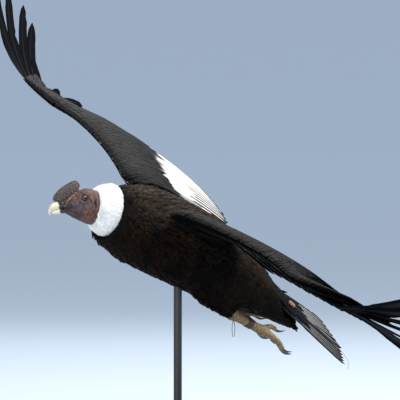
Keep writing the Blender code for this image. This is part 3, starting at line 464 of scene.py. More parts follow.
# Wings, in the same measures as the solids
shoulder = Vector((0.128, -0.170, 0.078))
wing = {
    "dihedral": {1: 3.5, -1: 6.5}, "incidence": {1: 5, -1: 0.5}, "camber": 0.055,
    "armCore": 0.50, "handCore": 0.16, "handStart": 0.52, "wrist": 0.60, "handEnd": 0.82,
    "flexStart": 0.85, "flexReach": 0.50, "flexPower": 2.2,
    "rise": {1: 0.06, -1: 0.10}, "droop": {1: 0.0, -1: 0.02}, "lift": {1: 0.036, -1: 0.0},
    # outward, back, up, chord, thickness
    "stations": (
        (-0.035, 0.030, -0.010, 0.430, 0.060), (0.030, 0.002, -0.002, 0.460, 0.058),
        (0.110, 0.010, 0.006, 0.475, 0.050), (0.220, 0.026, 0.012, 0.480, 0.044),
        (0.340, 0.034, 0.014, 0.482, 0.040), (0.460, 0.034, 0.011, 0.480, 0.036),
        (0.560, 0.028, 0.000, 0.476, 0.034), (0.620, 0.030, -0.006, 0.470, 0.032),
        (0.700, 0.040, -0.012, 0.470, 0.026), (0.780, 0.050, -0.016, 0.470, 0.018),
        (0.830, 0.056, -0.017, 0.470, 0.010),
    ),
    "handFlat": 0.6, "coreReach": 1.12, "coreBody": 2.6, "coreNose": 0.56, "coreTail": 1.2,
    "coreUpper": 0.58,
    "coreSpan": (-0.035, 0.815), "coreRows": 48, "coreColumns": 13, "corePower": 1.8, "coreSunk": -0.0015,
}


def wingPoint(sign, out, back, up):
    slope = math.radians(wing["dihedral"][sign])
    x = shoulder.x + out * math.cos(slope) - up * math.sin(slope)
    z = shoulder.z + out * math.sin(slope) + up * math.cos(slope)
    return np.stack(np.broadcast_arrays(sign * x, shoulder.y + back, z), -1)


def wingUp(sign):
    slope = math.radians(wing["dihedral"][sign])
    return np.array((-sign * math.sin(slope), 0, math.cos(slope)))


def wingHeight(sign, out, back):
    edgeBack, edgeUp, chord, _ = alongTable(wing["stations"], out)
    share = (back - edgeBack) / chord
    hand = np.clip((out - wing["wrist"]) / (wing["handEnd"] - wing["wrist"]), 0, 1)
    camber = wing["camber"] * chord * 4 * share * (1 - share) * (1 - wing["handFlat"] * hand)
    slope = math.sin(math.radians(wing["incidence"][sign])) * chord + wing["droop"][sign] * hand
    flex = np.maximum(0, (out - wing["flexStart"]) / wing["flexReach"]) ** wing["flexPower"]
    lift = wing["lift"][sign] * hand * (1 - share)
    return edgeUp + camber - slope * share + wing["rise"][sign] * flex + lift


def coreShare(out):
    hand = np.clip((out - wing["handStart"]) / (wing["wrist"] - wing["handStart"]), 0, 1)
    return wing["armCore"] + (wing["handCore"] - wing["armCore"]) * hand


def coreHalf(out, share, face):
    thick = alongTable(wing["stations"], out)[3]
    reach = coreShare(out) * wing["coreReach"]
    nose = np.sqrt(np.maximum(share, 0) / reach * wing["coreNose"])
    body = wing["coreBody"] * thick * nose * np.maximum(0, 1 - share / reach) ** wing["coreTail"]
    return body * (wing["coreUpper"] if face > 0 else 1 - wing["coreUpper"])


def wingSurface(sign, out, share, face, lift):
    edgeBack, _, chord, _ = alongTable(wing["stations"], out)
    back = edgeBack + share * chord
    height = wingHeight(sign, out, back) + face * (coreHalf(out, share, face) + lift)
    return wingPoint(sign, out, back, height)


def makeWingCore(sign):
    count = wing["coreColumns"]
    shares = np.concatenate([np.linspace(0, 1, count), np.linspace(1, 0, count)[1:-1]]) ** wing["corePower"]
    faces = [1] * count + [-1] * (count - 2)
    rings = []
    for out in np.linspace(*wing["coreSpan"], wing["coreRows"]):
        reach = coreShare(out)
        rings.append([
            wingSurface(sign, np.array(out), share * reach, face, wing["coreSunk"])
            for share, face in zip(shares, faces)
        ])
    return np.array(rings)


# Flight feathers
flight = {
    "secondaries": 22, "root": 0.36, "width": 0.050, "inner": 0.030, "outer": 0.600, "tilt": 0.050,
    # sweep back in degrees, length, lift of the tip on the left and right wing
    "primaries": (
        (78, 0.42, 0.000, 0.000), (66, 0.44, 0.000, 0.000), (54, 0.46, -0.004, -0.004),
        (44, 0.49, -0.010, -0.022), (36, 0.52, -0.016, -0.050), (22, 0.55, -0.010, -0.036),
        (20, 0.58, 0.045, 0.018), (16, 0.59, 0.105, 0.030), (9, 0.57, 0.165, 0.045),
        (2, 0.52, 0.215, 0.060),
    ),
    "liftPower": 1.25, "roots": (0.615, 0.800), "back": 0.016, "spread": 0.030,
    "primaryWidth": 0.062, "primaryTilt": 0.070,
    "broad": ((0, 0.55), (0.08, 0.86), (0.5, 1.0), (0.85, 0.96), (0.94, 0.76), (0.98, 0.45), (1, 0.08)),
    "finger": (
        (0, 0.4), (0.08, 0.75), (0.25, 1.0), (0.45, 0.98), (0.60, 0.62), (0.9, 0.50), (0.97, 0.3), (1, 0.04),
    ),
    "black": (0.006, 0.0065, 0.0085), "grey": (0.10, 0.105, 0.12), "white": (0.93, 0.93, 0.92),
    "shaft": (0.05, 0.05, 0.05), "shaftShare": 0.5, "rows": 26, "columns": 9, "thick": 0.0011,
    "shaftHeight": 0.0014, "dents": 0.20, "probe": 0.01, "inners": 4, "cells": 8,
    "innerShort": 0.16, "innerCount": 3.1, "uneven": 0.012, "fanIn": 5,
    "groups": (((0, 1), "broad", 0.44), ((2,), "finger", 0.36)),
    # Markings, over shares of a vane's width and length
    "whiteEnd": (0.50, 0.56), "whiteStart": ((0.30, 0.05), (0.48, 0.55)), "whiteBlend": 0.13,
    "blackTip": (0.90, 0.965), "outerWeb": (0.30, 0.42),
    "innerStart": (0.05, 0.2), "innerEnd": (0.62, 0.8), "innerShare": 0.02,
    "frostWeb": (0.5, 0.9), "frostEnd": (0.12, 0.45), "frostShare": 0.12,
    "underWeb": (0.35, 0.5), "underStart": (0.1, 0.3), "underEnd": (0.6, 0.9), "underShare": 0.3,
}


def featherLine(sign, root, sweep, length, height):
    share = np.linspace(0, 1, flight["rows"])
    ahead = np.array((math.cos(sweep), math.sin(sweep)))
    outer = np.array((math.sin(sweep), -math.cos(sweep)))
    middle = np.array(root) + ahead * (length * share)[:, None]
    spots = []
    for across in (0.0, flight["probe"]):
        spot = middle + outer * across
        spots.append(wingPoint(sign, spot[:, 0], spot[:, 1], height(share, across, spot, middle)))
    line, side = spots[0], unit(spots[1] - spots[0])
    run = unit(np.gradient(line, axis=0))
    up = unit(np.cross(side, run))
    if up[0] @ wingUp(sign) < 0:
        up = -up
    return line, side, up


def secondaryLines(sign):
    found = []
    count = flight["secondaries"]
    for k in range(count):
        t = k / (count - 1)
        out = flight["inner"] + (flight["outer"] - flight["inner"]) * t
        edgeBack, _, chord, _ = [float(value) for value in alongTable(wing["stations"], out)]
        root = (out, edgeBack + flight["root"] * chord)
        short = flight["innerShort"] * math.exp(-(k / flight["innerCount"]) ** 2)
        length = chord * (1 - flight["root"]) * (1 - short) * (1 + flight["uneven"] * dice.normal())

        def height(share, across, spot, middle):
            return wingHeight(sign, middle[:, 0], spot[:, 1]) + flight["tilt"] * across

        sweep = math.radians(90 - flight["fanIn"] * t**3)
        found.append((*featherLine(sign, root, sweep, length, height), flight["width"], 0, out))
    return found


def primaryLines(sign):
    found = []
    first, last = flight["roots"]
    count = len(flight["primaries"])
    for k, (sweep, length, *lifts) in enumerate(flight["primaries"]):
        part = k / (count - 1)
        out = first + (last - first) * part
        edgeBack, edgeUp, _, _ = [float(value) for value in alongTable(wing["stations"], out)]
        root = (out, edgeBack + flight["back"] + flight["spread"] * (1 - part))
        sunk = edgeUp - float(wingHeight(sign, np.array(root[0]), root[1]))
        lift = lifts[0] if sign > 0 else lifts[1]

        def height(share, across, spot, middle):
            return (
                wingHeight(sign, middle[:, 0], middle[:, 1]) + sunk * (1 - share)
                + lift * share ** flight["liftPower"] + flight["primaryTilt"] * across
            )

        line, side, up = featherLine(sign, root, math.radians(sweep), length, height)
        found.append((line, side, up, flight["primaryWidth"], 1 if k < flight["inners"] else 2, out))
    return found


def flightTint(vane, kinds, outs, per):
    columns = flight["columns"]
    kind = np.repeat(kinds, per)[:, None]
    pale = np.repeat(1 - fade(outs, *flight["whiteEnd"]), per)[:, None]
    begin = np.repeat(alongTable(flight["whiteStart"], outs)[0], per)[:, None]
    across, along = vane[:, :1], vane[:, 1:]
    upper = np.tile(np.arange(2 * columns) < columns, len(vane) // (2 * columns))[:, None]
    outerWeb = fade(across, *flight["outerWeb"])
    whiteWeb = upper * pale * (kind < 1) * fade(along, begin, begin + flight["whiteBlend"])
    whiteWeb = whiteWeb * (1 - fade(along, *flight["blackTip"])) * outerWeb
    inner = upper * (kind == 1) * fade(along, *flight["innerStart"]) * (1 - fade(along, *flight["innerEnd"]))
    frost = upper * (kind > 1) * fade(across, *flight["frostWeb"]) * (1 - fade(along, *flight["frostEnd"]))
    under = (1 - upper) * (kind > 0) * (1 - fade(across, *flight["underWeb"]))
    under = under * fade(along, *flight["underStart"]) * (1 - fade(along, *flight["underEnd"]))
    white = whiteWeb + inner * outerWeb * flight["innerShare"]
    grey = frost * flight["frostShare"] + under * flight["underShare"]
    tint = np.repeat(np.array(flight["black"])[None], len(vane), 0)
    for share, colour in ((white, "white"), (grey, "grey")):
        tint = tint + (np.array(flight[colour]) - tint) * share
    return shaftTint(tint, vane, flight["shaft"], flight["shaftShare"])


def makeFlightFeathers(sign, name):
    found = secondaryLines(sign) + primaryLines(sign)
    lines, sides, ups, widths, kinds, outs = [np.array(values) for values in zip(*found)]
    parts, start = [], 0
    for group, outline, lead in flight["groups"]:
        keep = np.isin(kinds, group)
        made, quads, vane, per = layVanes(
            lines[keep], sides[keep], ups[keep], widths[keep], flight[outline], lead,
            flight["columns"], flight["thick"], flight["shaftHeight"], flight["dents"],
        )
        parts.append((made, quads + start, vane, flightTint(vane, kinds[keep], outs[keep], per)))
        start += len(made)
    points, faces, vane, tint = [np.concatenate(values) for values in zip(*parts)]
    bake = bakePatches(np.zeros((len(lines), 2)), per, vane, flight["cells"])
    addPiece(name, points, faces.tolist(), tint, blackFeather, "plumage", vane, bake)


# Coverts, in tiers from the trailing ones to the leading edge: number along the arm, root share of
# the chord, length, width, height over the core, and the face that they lie on
coverts = {
    "tiers": (
        (26, 0.215, 0.195, 0.046, 0.0030, 1), (38, 0.150, 0.125, 0.034, 0.0036, 1),
        (48, 0.110, 0.085, 0.028, 0.0038, 1), (56, 0.080, 0.062, 0.024, 0.0036, 1),
        (62, 0.055, 0.050, 0.021, 0.0034, 1), (68, 0.036, 0.042, 0.019, 0.0028, 1),
        (74, 0.020, 0.036, 0.017, 0.0022, 1), (80, 0.006, 0.030, 0.016, 0.0014, 1),
        (24, 0.215, 0.185, 0.046, 0.0030, -1), (30, 0.125, 0.120, 0.036, 0.0034, -1),
        (38, 0.070, 0.080, 0.030, 0.0034, -1), (44, 0.035, 0.056, 0.025, 0.0030, -1),
        (50, 0.014, 0.042, 0.022, 0.0022, -1),
    ),
    # Upper coverts: their bloom lightened by painted top light; under coverts: darker, as painted shade
    "start": 0.000, "end": 0.810, "litBloom": (0.0165, 0.0160, 0.0165), "under": (0.007, 0.007, 0.008),
    "outline": ((0, 0.45), (0.2, 0.9), (0.6, 1.0), (0.85, 0.85), (0.96, 0.5), (1, 0.08)),
    "stray": 0.003, "handShift": 0.62, "handShort": 0.25, "uneven": 0.06, "rows": 8, "handSweep": 62,
    "sweepFrom": (0.55, 0.82), "sunk": 0.002, "risen": 0.45, "twist": 0.06, "thick": 0.0008, "shaft": 0.0007,
    "dents": 0.2, "patchy": 0.14, "patchRange": (0.6, 1.5), "rootShade": 0.40, "shadeEnd": (0.25, 0.6),
    # White on the first tier: from this arm on, and from these shares of a covert's length
    "whiteTier": 0.2, "whiteArm": (0.02, 0.06), "whiteBlend": 0.08,
    "whiteEdge": ((0.03, 0.30), (0.12, 0.34), (0.23, 0.50), (0.34, 0.78), (0.40, 1.2)),
    "bakeSpan": 0.9, "bakeEdge": 0.03,
}


def covertTint(outs, vane, per, rootShare, face):
    shade = (1 + coverts["patchy"] * dice.normal(size=(len(outs), 1))).clip(*coverts["patchRange"])
    # Painted light: upper coverts take the lighter colour of a lit top, under coverts the darker colour of a
    # shaded underside
    tint = np.repeat(np.array(coverts["litBloom"] if face > 0 else coverts["under"]) * shade, per, 0)
    if rootShare > coverts["whiteTier"] and face > 0:
        pale = np.repeat(fade(outs, *coverts["whiteArm"]), per)[:, None]
        edge = np.repeat(alongTable(coverts["whiteEdge"], outs)[0], per)[:, None]
        pale = pale * fade(vane[:, 1:], edge, edge + coverts["whiteBlend"])
        tint = tint + (np.array(flight["white"]) - tint) * pale
    return tint * (1 - coverts["rootShade"] * (1 - fade(vane[:, 1:], *coverts["shadeEnd"])))


def covertTier(sign, number, rootShare, length, width, lift, face):
    outs = np.linspace(coverts["start"], coverts["end"], number) + dice.normal(0, coverts["stray"], number)
    hand = np.clip((outs - wing["handStart"]) / (wing["wrist"] - wing["handStart"]), 0, 1)
    shares = rootShare * (1 - coverts["handShift"] * hand)
    lengths = length * (1 - coverts["handShort"] * hand) * (1 + coverts["uneven"] * dice.normal(size=number))
    along = np.linspace(0, 1, coverts["rows"])
    sweep = np.radians(90 - coverts["handSweep"] * fade(outs, *coverts["sweepFrom"]))
    run = outs[:, None] + np.cos(sweep)[:, None] * along * lengths[:, None]
    edgeBack, _, chord, _ = alongTable(wing["stations"], outs)
    backs = (edgeBack + shares * chord)[:, None] + np.sin(sweep)[:, None] * along * lengths[:, None]
    edge, _, chords, _ = alongTable(wing["stations"], run)
    place = np.clip((backs - edge) / chords, 0, 1)
    rise = coreHalf(run, np.minimum(place, coreShare(run)), face) - coverts["sunk"]
    rise = rise + (lift + coverts["sunk"]) * fade(along, 0, coverts["risen"])
    line = wingPoint(sign, run, backs, wingHeight(sign, run, backs) + face * rise)
    ahead = unit(np.gradient(line, axis=1))
    side = unit(np.cross(ahead, np.broadcast_to(wingUp(sign) * face, line.shape))) * sign * face
    up = unit(np.cross(side, ahead)) * (sign * face)
    up = up * np.sign(up @ (wingUp(sign) * face))[..., None]
    side = unit(side + up * coverts["twist"] * np.sign(side @ wingPoint(sign, 1.0, 0, 0))[..., None])
    made, quads, vane, per = layVanes(
        line, side, up, np.full(number, width), coverts["outline"], thickness=coverts["thick"],
        shaft=coverts["shaft"], dents=coverts["dents"],
    )
    tint = covertTint(outs, vane, per, rootShare, face)
    anchors = np.stack([outs / coverts["bakeSpan"], place[:, 0]], -1)
    return made, quads, vane, tint, anchors, per


def makeCoverts(sign, name):
    parts, start = [], 0
    for tier in coverts["tiers"]:
        made, quads, vane, tint, anchors, per = covertTier(sign, *tier)
        parts.append((made, quads + start, vane, tint, anchors))
        start += len(made)
    points, faces, vane, tint, anchors = [np.concatenate(values) for values in zip(*parts)]
    bake = bakePatches(anchors * coverts["bakeSpan"] + coverts["bakeEdge"], per, vane)
    addPiece(name, points, faces.tolist(), tint, coatFeather, "plumage", vane, bake)


for sign, side in ((1, "left"), (-1, "right")):
    makeFlightFeathers(sign, "flight_feathers_" + side)
    makeCoverts(sign, "wing_coverts_" + side)
print("wings feathered")


# Body skin: torso, thighs and the cores of wings and tail in one, inside the coat
body = {"voxel": 0.007, "smooth": 6, "depth": 0.004, "coreSides": 20, "skin": (0.006, 0.0052, 0.005)}
tail = {
    "place": (0.0, 0.395, -0.008), "droop": 10.5, "roll": 18, "length": 0.330, "fan": 14, "pairs": 6,
    "width": 0.050, "step": 0.0080, "rows": 22, "columns": 7, "first": 0.0035, "root": 0.02,
    "shorter": 0.004, "topLift": 0.0026, "layer": 0.0006, "tilt": 0.07, "lead": 0.45, "thick": 0.0011,
    "shaftHeight": 0.0016, "dents": 0.3, "greyWeb": (0.55, 0.95), "greyEnd": (0.80, 1.0), "greyShare": 0.45,
    "shaftShare": 0.8, "cells": 4,
    # back, half width, half thickness
    "core": ((-0.035, 0.034, 0.022), (0.015, 0.038, 0.019), (0.060, 0.042, 0.010), (0.095, 0.040, 0.004)),
    "black": (0.006, 0.0065, 0.0085), "grey": (0.060, 0.064, 0.072), "shaft": (0.85, 0.85, 0.83),
}
tailMatrix = (
    Matrix.Translation(tail["place"]) @ Matrix.Rotation(math.radians(-tail["droop"]), 4, "X")
    @ Matrix.Rotation(math.radians(tail["roll"]), 4, "Y")
)


def through(matrix, points):
    made = np.array(matrix)
    return np.asarray(points) @ made[:3, :3].T + made[:3, 3]


def ringObject(name, rings):
    points, faces = closeRings(rings)
    mesh = bpy.data.meshes.new(name)
    mesh.from_pydata(points.tolist(), [], faces)
    mesh.transform(poseMatrix)
    made = bpy.data.objects.new(name, mesh)
    bpy.context.scene.collection.objects.link(made)
    return turnOutward(made)


def copyNode(name):
    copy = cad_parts[name].copy()
    copy.data = copy.data.copy()
    copy.data.materials.clear()
    for key in list(copy.keys()):
        del copy[key]
    copy.parent = None
    bpy.context.scene.collection.objects.link(copy)
    return turnOutward(copy)


def vertexPlaces(piece, matrix):
    places = np.empty(len(piece.data.vertices) * 3)
    piece.data.vertices.foreach_get("co", places)
    return through(matrix.inverted(), places.reshape(-1, 3))


def makeBodySkin():
    pieces = [copyNode(name) for name in ("torso", "thigh_left", "thigh_right")]
    for sign in (1, -1):
        pieces.append(ringObject("core", makeWingCore(sign)))
    ys, halves, thicks = np.array(tail["core"]).T
    tops = np.stack([ys * 0, ys, thicks], -1)
    rings = oval(tops, tops * (1, 1, -1), (1, 0, 0), halves, body["coreSides"])
    pieces.append(ringObject("core", through(tailMatrix, rings.reshape(-1, 3)).reshape(rings.shape)))
    pickOnly(pieces[0])
    for piece in pieces:
        piece.select_set(True)
    bpy.ops.object.join()
    skin = pieces[0]
    skin.name = "body_skin"
    applyModifier(skin, "REMESH", mode="VOXEL", voxel_size=body["voxel"])
    applyModifier(skin, "SMOOTH", factor=0.5, iterations=body["smooth"])
    applyModifier(skin, "DISPLACE", strength=-body["depth"], mid_level=0)
    skin.data.shade_smooth()
    skin.data.materials.append(underSkin)
    setTint(skin, body["skin"])
    unwrap(skin)
    nodes = ("torso", "thigh_left", "thigh_right", "wing_left", "wing_right", "tail")
    return finishPiece(skin, "plumage", *nodes)


bodySkin = makeBodySkin()
print("body skin made")


def treeOf(piece, matrix):
    shape = bmesh.new()
    shape.from_mesh(piece.data)
    bmesh.ops.transform(shape, matrix=matrix.inverted(), verts=shape.verts)
    tree = BVHTree.FromBMesh(shape)
    shape.free()
    return tree


def castAll(tree, starts, inwards, reach):
    places, normals = np.zeros_like(starts), np.zeros_like(starts)
    hit = np.zeros(len(starts), bool)
    for k, (start, inward) in enumerate(zip(starts, inwards)):
        place, normal, _, _ = tree.ray_cast(Vector(start), Vector(inward), reach)
        if place:
            places[k], normals[k], hit[k] = place, normal, True
    return places, normals, hit


# Contour feathers of the body and thighs, in rows from the neck to the vent
coat = {
    "from": -0.276, "to": 0.500, "row": 0.0098, "gap": 0.0105, "length": 0.036, "width": 0.0185,
    "lift": 0.19, "droop": 0.07, "brown": (0.0090, 0.0048, 0.0028), "black": (0.0030, 0.0024, 0.0022),
    # Lighter colour for feathers that face up: the plumage's bloom lightened by painted top light
    "litBloom": (0.026, 0.0195, 0.0145),
    "outline": ((0, 0.4), (0.25, 0.85), (0.6, 1.0), (0.85, 0.82), (0.95, 0.5), (1, 0.1)),
    "fewest": 8, "wander": 0.18, "rowWander": 0.003, "reach": 0.3, "sideLimit": 0.155, "frontLimit": -0.86,
    "lagWander": 0.10, "uneven": 0.12, "lengthRange": (0.6, 1.4), "neckShare": 0.60,
    "neckEnd": (-0.27, -0.17),
    "rows": 5, "columns": 3, "sunk": 0.002, "thick": 0.0007, "shaft": 0.0003, "dents": 0.15, "curl": 0.10,
    "rootShade": 0.5, "shadeEnd": (0.3, 0.7), "bakeShare": 0.6, "bakeEdge": 0.02,
    # Feathers facing up take the lighter colour as painted top light, less so towards the rump
    "upward": (0.1, 0.0, 0.9), "back": (0.15, 0.75), "rump": (-0.02, 0.30), "rumpFade": 0.35,
    "litBloomShare": 0.675, "patchy": 0.20, "patchRange": (0.5, 1.6),
    "blotches": ((31.0, 23.0, 17.0), (12.0, 41.0, 5.0)), "swirl": 2,
}
torsoAxis = (
    (-0.300, -0.022, 0.060), (-0.200, -0.012, 0.130), (0.0, -0.004, 0.150), (0.200, -0.016, 0.125),
    (0.380, -0.041, 0.075), (0.450, -0.065, 0.050), (0.520, -0.074, 0.030),
)


def bodyRoots(tree):
    starts, inwards, spots = [], [], []
    first, last = coat["from"], coat["to"]
    for row, y in enumerate(np.arange(first, last, coat["row"])):
        middle, radius = [float(value) for value in alongTable(torsoAxis, y)]
        number = max(coat["fewest"], int(2 * math.pi * radius / coat["gap"]))
        for k in range(number):
            angle = 2 * math.pi * (k + 0.5 * (row % 2) + coat["wander"] * dice.normal()) / number
            out = np.array((math.cos(angle), 0, math.sin(angle)))
            centre = np.array((0, y + coat["rowWander"] * dice.normal(), middle))
            starts.append(centre + out * coat["reach"])
            inwards.append(-out)
            spots.append((angle / (2 * math.pi), (y - first) / (last - first)))
    places, normals, hit = castAll(tree, np.array(starts), np.array(inwards), coat["reach"])
    keep = hit & (np.abs(places[:, 0]) < coat["sideLimit"]) & (normals[:, 1] > coat["frontLimit"])
    return places[keep], normals[keep], np.array(spots)[keep]


thigh = {
    "top": (0.085, 0.060, -0.060), "heel": (0.065, 0.252, -0.116), "rows": (0.1, 0.99, 0.048), "around": 16,
    "full": 1.25, "taper": 0.55, "reach": 0.2, "low": -0.075, "scale": 0.8, "patch": 0.3,
    "patchPlace": (0.34, 0.66),
}


def thighRoots(tree):
    found = []
    top = np.array(thigh["top"])
    axis = np.array(thigh["heel"]) - top
    across = np.array((1.0, 0, 0))
    up = unit(np.cross(across, unit(axis)))
    for sign in (1, -1):
        flip = np.array((sign, 1, 1))
        starts, inwards, spots = [], [], []
        for row, share in enumerate(np.arange(*thigh["rows"])):
            number = int(thigh["around"] * (thigh["full"] - thigh["taper"] * share))
            for k in range(number):
                angle = 2 * math.pi * (k + 0.5 * (row % 2)) / number
                out = across * math.cos(angle) + up * math.sin(angle)
                starts.append((top + axis * share + out * thigh["reach"]) * flip)
                inwards.append(-out * flip)
                spots.append((angle / (2 * math.pi), share))
        places, normals, hit = castAll(tree, np.array(starts), np.array(inwards), thigh["reach"])
        keep = hit & (places[:, 2] < thigh["low"])
        corner = np.array(thigh["patchPlace"]) * (sign > 0, 1)
        found.append((places[keep], normals[keep], np.array(spots)[keep] * thigh["patch"] + corner))
    return [np.concatenate(values) for values in zip(*found)]


def coatTint(places, normals):
    first, second = [places @ np.array(wave)[:, None] for wave in coat["blotches"]]
    blotch = 0.5 + 0.5 * np.sin(first + np.sin(second) * coat["swirl"])
    black, brown, litBloom = [np.array(coat[name]) for name in ("black", "brown", "litBloom")]
    base = black + (brown - black) * blotch
    # Painted top light: feathers that face up are lightened, less so towards the rump
    litTop = fade(normals @ np.array(coat["upward"])[:, None], *coat["back"])
    litTop = litTop * (1 - fade(places[:, 1:2], *coat["rump"]) * coat["rumpFade"])
    base = base + (litBloom - base) * litTop * coat["litBloomShare"]
    return base * (1 + coat["patchy"] * dice.normal(size=(len(places), 1))).clip(*coat["patchRange"])


def makeCoat(name, places, normals, spots, scale=1.0):
    number = len(places)
    backward = np.array((0.0, 1.0, 0.0)) + dice.normal(0, coat["lagWander"], (number, 3))
    ahead = unit(backward - normals * (backward * normals).sum(1, keepdims=True))
    ahead = unit(ahead + normals * coat["lift"])
    uneven = (1 + coat["uneven"] * dice.normal(size=number)).clip(*coat["lengthRange"])
    neck = coat["neckShare"] + (1 - coat["neckShare"]) * fade(places[:, 1], *coat["neckEnd"])
    lengths = coat["length"] * scale * uneven * neck
    roots = places - normals * coat["sunk"]
    lines, sides, ups = layLines(roots, ahead, normals, lengths, coat["rows"], coat["droop"])
    made, quads, vane, per = layVanes(
        lines, sides, ups, np.full(number, coat["width"] * scale), coat["outline"], columns=coat["columns"],
        thickness=coat["thick"], shaft=coat["shaft"], dents=coat["dents"], curl=coat["curl"],
    )
    tint = np.repeat(coatTint(places, normals), per, 0)
    tint = tint * (1 - coat["rootShade"] * (1 - fade(vane[:, 1:], *coat["shadeEnd"])))
    bake = bakePatches(spots * coat["bakeShare"] + coat["bakeEdge"], per, vane)
    addCoat(name, made, quads, tint, coatFeather, "plumage", vane, bake, per)


bodyTree = treeOf(bodySkin, poseMatrix)
makeCoat("body_coat", *bodyRoots(bodyTree))
makeCoat("thigh_coat", *thighRoots(bodyTree), thigh["scale"])
print("coat laid")


# Tail
def makeTail():
    lines, sides, ups = [], [], []
    share = np.linspace(0, 1, tail["rows"])[:, None]
    turn = np.array(tailMatrix)[:3, :3]
    for side in (1, -1):
        for k in range(tail["pairs"]):
            onTop = side == 1 and k == 0
            angle = math.radians(tail["fan"]) * (k + 0.5) / tail["pairs"]
            start = np.array((tail["first"] + tail["step"] * k, tail["root"], 0))
            length = tail["length"] - tail["root"] - tail["shorter"] * k
            line = start + np.array((math.sin(angle), math.cos(angle), 0)) * share * length
            line[:, 2] = tail["topLift"] if onTop else -tail["layer"] * k
            across = np.array((math.cos(angle), -math.sin(angle), 0 if onTop else tail["tilt"]))
            flip = np.array((side, 1, 1))
            lines.append(through(tailMatrix, line * flip))
            sides.append(np.tile(unit(turn @ (across * flip)), (len(share), 1)))
            ups.append(np.tile(turn[:, 2], (len(share), 1)))
    count, columns = len(lines), tail["columns"]
    made, quads, vane, per = layVanes(
        np.array(lines), np.array(sides), np.array(ups), np.full(count, tail["width"]), flight["broad"],
        tail["lead"], columns, tail["thick"], tail["shaftHeight"], tail["dents"],
    )
    upper = np.tile(np.arange(2 * columns) < columns, len(vane) // (2 * columns))[:, None]
    sunlit = fade(vane[:, :1], *tail["greyWeb"]) * upper * (1 - fade(vane[:, 1:], *tail["greyEnd"]))
    black, grey = np.array(tail["black"]), np.array(tail["grey"])
    tint = black + (grey - black) * sunlit * tail["greyShare"]
    tint = shaftTint(tint, vane, tail["shaft"], tail["shaftShare"])
    bake = bakePatches(np.zeros((count, 2)), per, vane, tail["cells"])
    addPiece("tail_feathers", made, quads.tolist(), tint, blackFeather, "plumage", vane, bake)


tailCoverts = {
    # start along the tail, length, height over its middle, face
    "tiers": (
        (0.030, 0.130, 0.0095, 1), (0.000, 0.090, 0.0150, 1), (-0.030, 0.080, 0.0200, 1),
        (0.030, 0.155, 0.0085, -1), (0.000, 0.130, 0.0130, -1), (-0.025, 0.110, 0.0190, -1),
    ),
    "number": 9, "rows": 7, "turn": 0.5, "spread": 0.070, "stray": 0.006, "rounding": 1.6, "fall": 0.55,
    "layer": 0.0006, "width": 0.034, "shaft": 0.0006, "dents": 0.25, "curl": 0.2, "patchy": 0.25,
    "patchRange": (0.6, 2), "bakeShare": 0.9, "bakeEdge": 0.05,
}


def makeTailCoverts():
    number = tailCoverts["number"]
    lines, sides, ups = [], [], []
    share = np.linspace(0, 1, tailCoverts["rows"])[:, None]
    turn = np.array(tailMatrix)[:3, :3]
    for tier, (start, length, rise, face) in enumerate(tailCoverts["tiers"]):
        for k in range(number):
            across = (k - (number - 1) / 2 + 0.5 * (tier % 2)) / number
            angle = across * tailCoverts["turn"]
            root = (across * tailCoverts["spread"], start + tailCoverts["stray"] * dice.normal(), 0)
            line = np.array(root) + np.array((math.sin(angle), math.cos(angle), 0)) * share * length
            height = rise * (1 - across**2 * tailCoverts["rounding"])
            height = height * (1 - tailCoverts["fall"] * share[:, 0])
            line[:, 2] = face * (height + tailCoverts["layer"] * (k % 3))
            lines.append(through(tailMatrix, line))
            side = turn @ np.array((math.cos(angle), -math.sin(angle), 0)) * face
            sides.append(np.tile(side, (len(share), 1)))
            ups.append(np.tile(turn[:, 2] * face, (len(share), 1)))
    count = len(lines)
    made, quads, vane, per = layVanes(
        np.array(lines), np.array(sides), np.array(ups), np.full(count, tailCoverts["width"]),
        coverts["outline"], shaft=tailCoverts["shaft"], dents=tailCoverts["dents"], curl=tailCoverts["curl"],
    )
    shade = (1 + tailCoverts["patchy"] * dice.normal(size=(count, 1))).clip(*tailCoverts["patchRange"])
    tint = np.repeat(np.array(tail["black"]) * shade, per, 0)
    anchors = np.stack(np.divmod(np.arange(count), number), -1) / (len(tailCoverts["tiers"]), number)
    bake = bakePatches(anchors * tailCoverts["bakeShare"] + tailCoverts["bakeEdge"], per, vane)
    addPiece("tail_coverts", made, quads.tolist(), tint, coatFeather, "plumage", vane, bake)


makeTail()
makeTailCoverts()
print("tail made")


# Ruff: a soft collar and tufts of down over it
ruff = {
    "place": (0.0, -0.268, -0.009), "axis": (-0.063, -0.983, -0.18), "length": 0.056, "radius": 0.0735,
    "outline": ((-0.02, 0.86), (0.10, 1.0), (0.35, 1.02), (0.65, 0.93), (0.9, 0.80), (1.0, 0.66)),
    # The cream colour is painted shade on the down that faces downwards
    "white": (0.95, 0.945, 0.93), "shadeCream": (0.86, 0.82, 0.70), "tufts": 9500, "tuft": 0.0135, "core": 0.92,
    "rows": 22, "innerRows": 8, "columns": 64, "ends": (-0.02, 0.97, 0.1), "innerShell": 0.55,
    # lumps: size, number around, number along
    "lumps": ((0.02, 7, 9), (0.015, 17, -14)),
    "span": 1.02, "start": -0.02, "stand": 0.005, "frontLean": 0.25, "rise": 0.42, "backRise": 0.10,
    "backEnd": 0.35, "wander": 0.11, "shortest": 0.75, "spread": 0.5, "backLength": (0.7, 0.3, 0.3),
    "frontLength": (0.25, 0.6), "droop": 0.08, "width": 0.0034, "thinnest": 0.7, "widths": 0.6,
    "tuftRows": 4, "tuftColumns": 3, "thick": 0.0010, "shaft": 0.0004, "curl": 0.3,
    "tuftOutline": ((0, 0.8), (0.4, 1.0), (0.75, 0.7), (1, 0.08)),
    "shadeFrom": (0.2, 1.0), "shadeShare": 0.55, "patchy": 0.03, "whitest": 0.95, "bakeShare": 0.94,
    "bakeEdge": 0.03,
}
ruffAxis = unit(np.array(ruff["axis"]))
